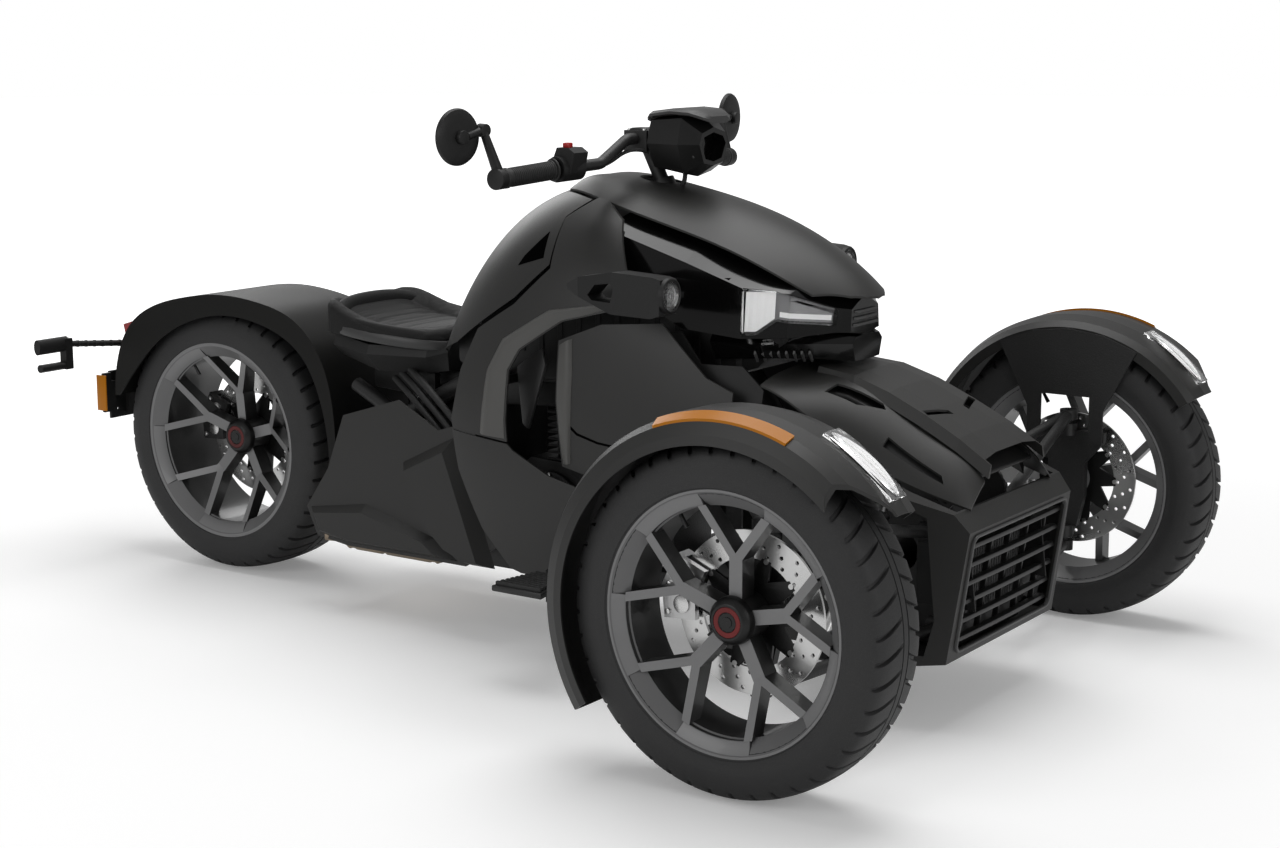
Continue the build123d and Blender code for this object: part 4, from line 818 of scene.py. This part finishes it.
# Handlebar, grips and switch boxes
# A bent steel bar held by two clamps; ribbed rubber grips; moulded switch boxes with a red stop switch on the
# right.
grip_rubber = finish("grip_rubber", 0.008, 0.62, grain=700.0, depth=0.5, bump=0.0006)
dress(grip_rubber, "grips")
dress(trim_plastic, "switch_boxes")
red_plastic = finish("red_plastic", (0.42, 0.012, 0.01), 0.35, drift=0.04, grain=500.0, depth=0.1, dust=0.0)
BAR_INNER, BAR_END = (0.229, 0.262, 0.944), (0.196, 0.378, 0.933)


def on_bar(share, sign):
    """The matrix that lays a rod along the bar's outer length, at a share of it."""
    start, end = (Vector((x, sign * y, z)) for x, y, z in (BAR_INNER, BAR_END))
    turn = (end - start).to_track_quat("Z", "X").to_matrix().to_4x4()
    return Matrix.Translation(between(start, end, share)) @ turn


def grip_details(side, sign):
    """The ribs, flange and end weight of one grip, and its switch box's buttons."""
    ribs, ends, buttons = bmesh.new(), bmesh.new(), bmesh.new()
    for k in range(22):
        rod(ribs, 0.0178, 0.0022, on_bar(0.12 + k * 0.034, sign), 32)
    for share, radius, depth in ((0.035, 0.0215, 0.004), (0.075, 0.0185, 0.004), (0.94, 0.0188, 0.008)):
        rod(ends, radius, depth, on_bar(share, sign), 36)
    soften(ends, 0.0011)
    add_piece(f"grip_ribs_{side}", ribs, grip_rubber, "bars")
    add_piece(f"grip_ends_{side}", ends, grip_rubber, "bars")
    for (x, y, z), size in (((0.2135, 0.230, 0.9515), (0.004, 0.012, 0.009)),
                            ((0.2115, 0.230, 0.9675), (0.004, 0.016, 0.007)),
                            ((0.2235, 0.214, 0.9835), (0.012, 0.007, 0.004))):
        spot = Matrix.Translation((x, sign * y, z)) @ Matrix.Diagonal((*size, 1.0))
        bmesh.ops.create_cube(buttons, size=1.0, matrix=spot)
    soften(buttons, 0.0012)
    add_piece(f"switch_buttons_{side}", buttons, trim_grey, body="bars")


for side, sign in SIDES:
    grip_details(side, sign)
stop_switch = plate("z", 0.9835, ((0.2345, -0.246), (0.2505, -0.246), (0.2490, -0.232), (0.2360, -0.232)),
                    0.0095, 0.002)
plate("x", 0.2130, oblong(-0.222, 0.957, -0.240, 0.963), -0.006, 0.0015, mesh=stop_switch)
add_piece("stop_switch", stop_switch, red_plastic, "bars")
cap_screws = [((0.262 + x, sign * y, 1.0085), (0, 0, 1)) for sign in (-1, 1) for y in (0.022, 0.042)
              for x in (-0.017, 0.017)]
bolts("bar_clamp_screws", cap_screws, 0.0048, 0.005, disc_steel, "bars", 16)
clamps = bmesh.new()
for y in (-0.032, 0.032):
    plate("y", y - 0.014, ((0.2385, 1.0), (0.2855, 1.0), (0.2855, 1.008), (0.272, 1.013), (0.252, 1.013),
                           (0.2385, 1.008)), 0.028, 0.002, mesh=clamps)
add_piece("bar_clamps", clamps, cast_black, "bars")
for side, sign in SIDES:
    tube(f"switch_cable_{side}", [(x, sign * y, z) for x, y, z in
                                  ((0.236, 0.206, 0.950), (0.236, 0.180, 0.938), (0.246, 0.120, 0.945),
                                   (0.262, 0.080, 0.972), (0.284, 0.050, 0.972), (0.300, 0.030, 0.962))],
         0.0036, grip_rubber, "bars")


# Instrument pod
# A hooded gauge box in black plastic: a paler faceted visor over it, a dark display toward the rider and a
# recessed socket with a slot in front.
pod_black = finish("pod_black", 0.006, 0.36, grain=1100.0, depth=0.3, specular=0.35)
dress(pod_black, "instrument_pod")
visor_grey = finish("visor_grey", 0.03, 0.38, grain=1100.0, depth=0.25)


def even_outline(half):
    """The outline of a shape that is the same on both sides, from its points on one side."""
    return [*half, *((-y, z) for y, z in half[::-1])]


rings = []
for x, half, z in ((0.290, 0.048, 1.038), (0.300, 0.056, 1.0455), (0.352, 0.066, 1.0520),
                   (0.392, 0.062, 1.0495), (0.414, 0.046, 1.0410), (0.420, 0.034, 1.0370)):
    rings.append([(x, -half, z - 0.010), (x, -half - 0.001, z - 0.005), (x, -half * 0.8, z),
                  (x, half * 0.8, z), (x, half + 0.001, z - 0.005), (x, half, z - 0.010),
                  (x, half * 0.8, z - 0.013), (x, -half * 0.8, z - 0.013)])
visor = loft(rings)
soften(visor, 0.0012, 0.5)
add_piece("pod_visor", visor, visor_grey, body="bars", crease=25.0)
socket = plate("x", 0.3755, even_outline(((0.008, 0.950), (0.012, 0.962), (0.032, 0.968), (0.036, 0.992),
                                          (0.030, 1.006))), 0.012, 0.002)
add_piece("pod_socket", socket, gloss_black, "bars")
display = plate("x", 0.3005, even_outline(((0.042, 1.020), (0.048, 1.004), (0.044, 0.968), (0.030, 0.950))),
                -0.003, 0.001)
add_piece("pod_display", display, gloss_black, "bars")
bezel = []
frame_line = even_outline(((0.044, 1.024), (0.053, 1.004), (0.048, 0.965), (0.032, 0.945)))
for y, z in frame_line + frame_line[:1]:
    dy, dz = Vector((y, z - 0.985)).normalized() * 0.0022
    bezel.append([(0.3008, y - dy, z - dz), (0.2955, y - dy, z - dz), (0.2955, y + dy, z + dz),
                  (0.3008, y + dy, z + dz)])
add_piece("pod_bezel", loft(bezel, caps=False), visor_grey, body="bars", crease=25.0)
pod_screws = [((0.3925, sign * 0.0475, z), (0.8, sign * 0.6, 0)) for sign in (-1, 1) for z in (1.004, 0.962)]
bolts("pod_screws", pod_screws, 0.0032, 0.004, hub_black, "bars", 12)
tube("pod_lead", [(0.352, -0.012, 0.928), (0.352, -0.014, 0.905), (0.330, -0.010, 0.898), (0.296, 0.0, 0.905),
                  (0.286, 0.004, 0.93), (0.286, 0.004, 0.96)], 0.0045, grip_rubber, "bars")


# Mirrors
# Round mirrors with ribbed black backs on cast stalks that clamp to the bar's ends.
mirror_glass = finish("mirror_glass", (0.82, 0.83, 0.84), 0.03, drift=0.01, grain=50.0, depth=0.0, dust=0.0,
                      metallic=1.0)
MIRROR_TURN = math.radians(8)


def mirror(side, sign):
    """One mirror: its back and glass, its stalk in two tapered lengths and its pivots."""
    ahead = Vector((math.cos(MIRROR_TURN), sign * math.sin(MIRROR_TURN), 0.0))
    front = Vector((0.160, sign * 0.4560, 1.010)) + ahead * 0.006
    back = turned(((0.0, 0.0), (0.012, 0.0), (0.016, -0.0012), (0.030, -0.0006), (0.043, -0.0022),
                   (0.049, -0.0045), (0.0512, -0.0085), (0.0512, -0.0110), (0.0500, -0.0128),
                   (0.0480, -0.0120)), 64, facing(front, ahead))
    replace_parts(add_piece(f"mirror_back_{side}", back, trim_plastic, body="bars"), "mirrors")
    glass = turned(((0.0, 0.0), (0.020, -0.0001), (0.035, -0.0002), (0.0485, -0.0003)), 64,
                   facing(front - ahead * 0.0122, ahead))
    add_piece(f"mirror_glass_{side}", glass, mirror_glass, "bars")
    stalk = bmesh.new()
    foot, bend, head = (Vector((x, sign * y, z)) for x, y, z in
                        ((0.196, 0.386, 0.940), (0.170, 0.398, 1.020), (0.167, 0.440, 1.011)))
    for start, end, wide, narrow in ((foot, bend, 0.0105, 0.0075), (bend, head, 0.0080, 0.0070)):
        rod(stalk, wide, (end - start).length, facing(between(start, end, 0.5), end - start), top=narrow)
    for place, axis, radius, depth in ((front + ahead * 0.004, ahead, 0.013, 0.012),
                                       (bend, ahead, 0.0125, 0.018),
                                       ((0.196, sign * 0.3865, 0.933), (0, 1, 0), 0.0195, 0.024)):
        rod(stalk, radius, depth, facing(place, axis), 36, radius * 0.94)
    soften(stalk, 0.0015)
    add_piece(f"mirror_stalk_{side}", stalk, trim_plastic, body="bars")


for side, sign in SIDES:
    mirror(side, sign)


# Saddle
# A low one-person cushion: foam under a textured cover, sunk inside a raised rim, with a stitched seam where
# the sitting surface meets the rim.
saddle_cover = finish("saddle_cover", 0.0075, 0.6, drift=0.06, grain=520.0, depth=1.0, bump=0.0007,
                      specular=0.22)
SADDLE_X = (-0.466, -0.452, -0.436, -0.416, -0.395, -0.360, -0.320, -0.280, -0.240, -0.200, -0.163)
SADDLE_WIDTH = (0.122, 0.140, 0.150, 0.155, 0.158, 0.161, 0.160, 0.153, 0.140, 0.124, 0.082)
RIM_TOP = (0.644, 0.643, 0.640, 0.633, 0.625, 0.613, 0.604, 0.599, 0.596, 0.594, 0.597)
SEAT_TOP = (0.638, 0.632, 0.620, 0.608, 0.600, 0.592, 0.588, 0.588, 0.592, 0.598, 0.605)
SEAM_SHARE, SEAM_HOLD, SEAM_DEPTH = 0.66, 0.007, 0.0026
CUSHION_PUFF, CLOTH_FRAMES = 0.006, 20

rings = []
for x, width, rim_top, seat_top in zip(SADDLE_X, SADDLE_WIDTH, RIM_TOP, SEAT_TOP):
    half = []
    for share in (0.0, 0.2, 0.4, 0.56, 0.66, 0.74, 0.82, 0.9, 0.97, 1.0):
        rise = min(max((share - 0.60) / 0.28, 0.0), 1.0)
        height = seat_top + (rim_top - seat_top) * rise * rise * (3.0 - 2.0 * rise)
        half.append((share * width, height - 0.010 * max(0.0, share - 0.93) / 0.07))
    half += [(width, 0.572), (width * 0.55, 0.564), (0.0, 0.562)]
    rings.append([(x, y, z) for y, z in half] + [(x, -y, z) for y, z in half[-2:0:-1]])
cushion_mesh = loft(rings)
bmesh.ops.recalc_face_normals(cushion_mesh, faces=cushion_mesh.faces)
cushion_data = bpy.data.meshes.new("saddle_cushion")
cushion_mesh.to_mesh(cushion_data)
cushion_mesh.free()
cushion = bpy.data.objects.new("saddle_cushion", cushion_data)
bpy.context.scene.collection.objects.link(cushion)


def evaluated_mesh(thing):
    """A copy of an object's mesh as its modifiers make it."""
    return bpy.data.meshes.new_from_object(thing.evaluated_get(bpy.context.evaluated_depsgraph_get()))


def seam_distance(place):
    """How far a point lies from the seam inside the rim."""
    x = min(max(place.x, SADDLE_X[0]), SADDLE_X[-1])
    k = max(i for i, start in enumerate(SADDLE_X[:-1]) if start <= x)
    share = (x - SADDLE_X[k]) / (SADDLE_X[k + 1] - SADDLE_X[k])
    width = SADDLE_WIDTH[k] + (SADDLE_WIDTH[k + 1] - SADDLE_WIDTH[k]) * share
    return abs(abs(place.y) / width - SEAM_SHARE) * width


even = cushion.modifiers.new("even", "REMESH")
even.mode, even.voxel_size = "VOXEL", 0.005
cushion.data = evaluated_mesh(cushion)
cushion.modifiers.clear()
held = cushion.vertex_groups.new(name="held")
for vertex in cushion.data.vertices:
    near = max(0.0, 1.0 - seam_distance(vertex.co) / SEAM_HOLD)
    low = 1.0 if vertex.co.z < 0.580 or vertex.co.x < -0.44 else 0.0
    held.add([vertex.index], max(near, low), "REPLACE")
still = [vertex.co.copy() for vertex in cushion.data.vertices]
cloth = cushion.modifiers.new("cloth", "CLOTH")
cloth.settings.quality, cloth.settings.mass = 5, 0.3
cloth.settings.use_pressure, cloth.settings.uniform_pressure_force = True, 4.0
cloth.settings.vertex_group_mass, cloth.settings.effector_weights.gravity = "held", 0.0
cloth.point_cache.frame_start, cloth.point_cache.frame_end = 1, CLOTH_FRAMES
for moment in range(1, CLOTH_FRAMES + 1):
    bpy.context.scene.frame_set(moment)
puffed = evaluated_mesh(cushion)
cushion.modifiers.clear()
for vertex, before in zip(puffed.vertices, still):
    move = vertex.co - before
    if move.length > CUSHION_PUFF:
        vertex.co = before + move.normalized() * CUSHION_PUFF
cushion.data = puffed
bpy.context.scene.frame_set(1)
for vertex in cushion.data.vertices:
    if vertex.co.z > 0.582 and vertex.co.x > -0.445:
        vertex.co.z -= SEAM_DEPTH * max(0.0, 1.0 - seam_distance(vertex.co) / 0.005)
rounded = cushion.modifiers.new("rounded", "SUBSURF")
rounded.levels = rounded.render_levels = 1
cushion.data = evaluated_mesh(cushion)
cushion.modifiers.clear()
cushion.data.shade_smooth()
cushion.data.materials.clear()
cushion.data.materials.append(saddle_cover)
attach(cushion, "chassis")
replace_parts(cushion, "saddle")


# Saddle rim and hoses
# A raised lip of firm foam round the cushion's rear, on a paler moulded band, and three black breather hoses
# that run down from below it to the side cover.
RIM_PATH = [(-0.168, 0.088, 0.584), (-0.183, 0.108, 0.590), (-0.205, 0.126, 0.594), (-0.240, 0.140, 0.598),
            (-0.285, 0.153, 0.602), (-0.330, 0.159, 0.607), (-0.370, 0.159, 0.613), (-0.403, 0.154, 0.620),
            (-0.429, 0.143, 0.628), (-0.447, 0.124, 0.635), (-0.459, 0.096, 0.6405), (-0.465, 0.055, 0.645),
            (-0.4665, 0.0, 0.6465)]
lip, band = [], []
ends = [(x, -y, z) for x, y, z in RIM_PATH] + [(x, y, z) for x, y, z in RIM_PATH[-2::-1]]
for k, (x, y, z) in enumerate(ends):
    x0, y0, _ = ends[max(k - 1, 0)]
    x1, y1, _ = ends[min(k + 1, len(ends) - 1)]
    out = Vector((y1 - y0, x0 - x1)).normalized()
    if out.dot(Vector((x + 0.30, y))) < 0:
        out = -out
    raised = 0.100 * (-0.190 - x)
    lip.append([(x - out.x * inward, y - out.y * inward, height) for inward, height in
                ((0.0, 0.570 + raised), (-0.001, z - 0.012), (0.002, z - 0.004), (0.008, z),
                 (0.016, z - 0.001), (0.023, z - 0.006), (0.028, z - 0.016), (0.030, 0.580), (0.030, 0.568))])
    band.append([(x - out.x * inward, y - out.y * inward, height + raised) for inward, height in
                 ((-0.001, 0.553), (-0.003, 0.556), (-0.003, 0.571), (-0.001, 0.574), (0.012, 0.574),
                  (0.012, 0.553))])
lip_piece = add_piece("saddle_lip", loft(lip), saddle_cover, crease=60.0)
soft = lip_piece.modifiers.new("soft", "SUBSURF")
soft.levels = soft.render_levels = 2
add_piece("saddle_band", loft(band), visor_grey, crease=40.0)
for k in range(3):
    shift = Vector((0.021 * k, -0.002 * k, 0.013 * k))
    tube(f"breather_hose_{k + 1}", [Vector(place) + shift for place in
                                    ((-0.300, -0.106, 0.486), (-0.250, -0.130, 0.468),
                                     (-0.180, -0.160, 0.436), (-0.110, -0.184, 0.398),
                                     (-0.070, -0.190, 0.360))], 0.0072, grip_rubber)


# Tail lamp, indicators and plate
# A red lamp on the mudguard, oval lamps on rubber stalks with amber reflectors below, a bare plate bracket.
red_lens = finish("red_lens", (0.34, 0.008, 0.008), 0.14, drift=0.04, grain=160.0, depth=0.4, dust=0.0,
                  coat=0.6)
dress(red_lens, "tail_lamp")
dress(trim_plastic, "rear_indicators")


def rear_lamp(side, sign):
    """The oval lens, reflectors and ribbed rubber boot of one rear indicator."""
    rings = []
    for x, size in ((-1.1575, 0.82), (-1.1595, 0.97), (-1.1600, 1.0), (-1.1630, 0.86), (-1.1645, 0.55),
                    (-1.165, 0.1)):
        rings.append([(x, sign * 0.2775 + 0.036 * size * math.cos(t), 0.503 + 0.0125 * size * math.sin(t))
                      for t in (math.pi * k / 16 for k in range(32))])
    add_piece(f"indicator_lens_{side}", loft(rings), amber_lens)
    reflectors = plate("x", -1.1590, oblong(sign * 0.246, 0.449, sign * 0.308, 0.461), -0.003, 0.001)
    plate("y", sign * 0.1285, oblong(-1.1740, 0.334, -1.1440, 0.416), sign * 0.004, 0.0015, mesh=reflectors)
    add_piece(f"reflector_{side}", reflectors, amber_lens)
    boot = bmesh.new()
    for k in range(6):
        spot = between((-1.1415, sign * 0.088, 0.4870), (-1.1480, sign * 0.205, 0.4990), k / 5)
        rod(boot, 0.0078, 0.004, facing(spot, (-0.01, sign * 0.164, 0.017)), 24)
    add_piece(f"indicator_boot_{side}", boot, grip_rubber)


for side, sign in SIDES:
    rear_lamp(side, sign)
rows = bmesh.new()
for k in range(9):
    y = -0.052 + 0.0135 * k
    prism([(-1.1505, y, 0.5035), (-1.1505, y + 0.007, 0.5035), (-1.1545, y + 0.007, 0.524),
           (-1.1545, y, 0.524)], (-0.0016, 0.0, 0.0), 0.0006, mesh=rows)
add_piece("tail_lamp_ribs", rows, red_lens)


# Muffler and pipes
# A flat oval can of blued steel under the engine, with welded ends, two straps and a pipe out to the right.
muffler_steel = finish("muffler_steel", (0.36, 0.29, 0.22), 0.42, drift=0.3, grain=60.0, depth=0.3,
                       metallic=0.85)
CAN_CORNER = 0.0138
can = []
for x, grow in ((-0.399, -0.012), (-0.396, -0.004), (-0.388, 0.0), (-0.384, -0.002), (-0.372, -0.002),
                (-0.368, 0.0), (-0.300, 0.0), (-0.296, -0.0025), (-0.288, -0.0025), (-0.284, 0.0),
                (-0.172, 0.0), (-0.168, -0.002), (-0.156, -0.002), (-0.152, 0.0), (-0.144, -0.004),
                (-0.141, -0.012)):
    ring = []
    for corner, (cy, cz) in enumerate(((0.086, 0.172), (-0.156, 0.172), (-0.156, 0.136), (0.086, 0.136))):
        for turn in (math.radians(90 * corner + 15 * k) for k in range(7)):
            ring.append((x, cy + (CAN_CORNER + grow) * math.cos(turn),
                         cz + (CAN_CORNER + grow) * math.sin(turn)))
    can.append(ring)
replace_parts(add_piece("muffler_can", loft(can), muffler_steel, crease=40.0), "muffler")
tube("exhaust_pipe", [(-0.150, -0.04, 0.154), (-0.110, -0.04, 0.154), (-0.070, -0.04, 0.160),
                      (-0.045, -0.05, 0.185), (-0.045, -0.06, 0.230), (-0.030, -0.07, 0.280)], 0.019,
     muffler_steel)
tube("tail_pipe", [(-0.360, -0.140, 0.156), (-0.385, -0.165, 0.156), (-0.398, -0.184, 0.158),
                   (-0.420, -0.196, 0.160)], 0.017, muffler_steel)


# Engine
# A cast twin below the saddle, all in black: ribbed cylinder, round covers with bolted rims on each side.
engine = plate("y", -0.070, ((-0.038, 0.178), (0.366, 0.178), (0.368, 0.300), (0.330, 0.340), (0.020, 0.352),
                             (-0.038, 0.300)), 0.140, 0.006)
for k in range(11):
    plate("z", 0.350 + k * 0.0135, oblong(0.062, -0.068, 0.238, 0.068), 0.005, 0.001, 1, engine)
plate("z", 0.345, oblong(0.078, -0.056, 0.222, 0.056), 0.150, 0.004, mesh=engine)
plate("z", 0.494, oblong(0.066, -0.066, 0.234, 0.066), 0.025, 0.007, mesh=engine)
cover_bolts = []
for sign in (-1, 1):
    for x, z, radius in ((0.075, 0.256, 0.072), (0.262, 0.252, 0.062)):
        for r, reach in ((radius, 0.0795), (radius * 0.86, 0.0832), (radius * 0.35, 0.0848)):
            rod(engine, r, reach, crosswise((x, sign * reach / 2, z)), 56)
        cover_bolts += [((x + dx, sign * 0.0805, z + dz), (0, sign, 0)) for dx,
                        dz in circle(radius * 0.93, 8)]
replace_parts(add_piece("engine_castings", engine, cast_black, crease=35.0), "engine_block")
bolts("engine_bolts", cover_bolts, 0.0042, 0.006, disc_steel)


# Rear spring
# One short coil-over unit beside the swinging arm, black spring on a bright damper.
foot, head = Vector((-0.480, 0.154, 0.388)), Vector((-0.356, 0.154, 0.478))
coil_spring("rear_coil", foot, head, Vector((0.0, 1.0, 0.0)), 5, 12, 0.28, 0.44, 0.0175, 0.0042)
unit = damper_rods(foot, head, ((0.08, 0.92, 0.0078), (0.245, 0.28, 0.0215), (0.52, 0.76, 0.0115),
                                (0.72, 0.755, 0.0215)))
for place in (foot, head):
    for radius, width in ((0.012, 0.020), (0.0075, 0.0225)):
        rod(unit, radius, width, crosswise(place))
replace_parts(add_piece("rear_damper", unit, disc_steel), "rear_shock")


# Footrests and brake pedal
# Folded steel pegs with ribbed rubber pads, and a brake pedal ahead of the right one.
def footrest(side, sign):
    """One peg, its pad and its ribs."""
    outline = [(x, sign * y) for x, y in ((0.207, 0.439), (0.322, 0.439), (0.300, 0.319), (0.229, 0.319))]
    peg = plate("z", 0.1805, outline, 0.012, 0.003)
    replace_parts(add_piece(f"footrest_peg_{side}", peg, powder_coat), "footrests")
    pads = bmesh.new()
    for k in range(9):
        y = 0.332 + k * 0.0118
        spread = 0.022 * (y - 0.319) / 0.12
        outline = oblong(0.233 - spread, sign * y, 0.296 + spread, sign * (y + 0.0078))
        plate("z", 0.192, outline, 0.0078, 0.0014, mesh=pads)
    add_piece(f"footrest_pad_{side}", pads, grip_rubber)


for side, sign in SIDES:
    footrest(side, sign)
lever = plate("y", -0.334, ((0.372, 0.165), (0.392, 0.165), (0.398, 0.235), (0.428, 0.278), (0.412, 0.286),
                            (0.380, 0.244)), -0.008, 0.002)
plate("y", -0.306, ((0.404, 0.276), (0.432, 0.264), (0.440, 0.276), (0.412, 0.289)), -0.062, 0.003,
      mesh=lever)
add_piece("brake_pedal", lever, cast_black)


# Suspension and frame fasteners
# Bright bolts through every pivot of the arms, the tower plates and the swinging arm's axle, and the rubber
# boots on the tie rods.
pivots = [((0.886 + ahead * (spread + 0.0195), sign * 0.150, z), (ahead, 0, 0)) for sign in (-1, 1)
          for spread, z in ((0.090, 0.168), (0.070, 0.335)) for ahead in (-1, 1)]
bolts("arm_pivot_bolts", pivots, 0.0085, 0.007, disc_steel)
bolts("swingarm_bolts", [((-0.330, -0.1305, 0.300), (0, -1, 0)), ((-0.330, 0.1785, 0.300), (0, 1, 0)),
                         ((-0.823, 0.1785, 0.296), (0, 1, 0))], 0.018, 0.006, disc_steel)
boots = bmesh.new()
for sign in (-1, 1):
    for k in range(9):
        rod(boots, 0.0165 - 0.0005 * k, 0.006, crosswise((0.771, sign * (0.336 + 0.0085 * k), 0.230)), 32)
add_piece("tie_rod_boots", boots, grip_rubber, "rack")
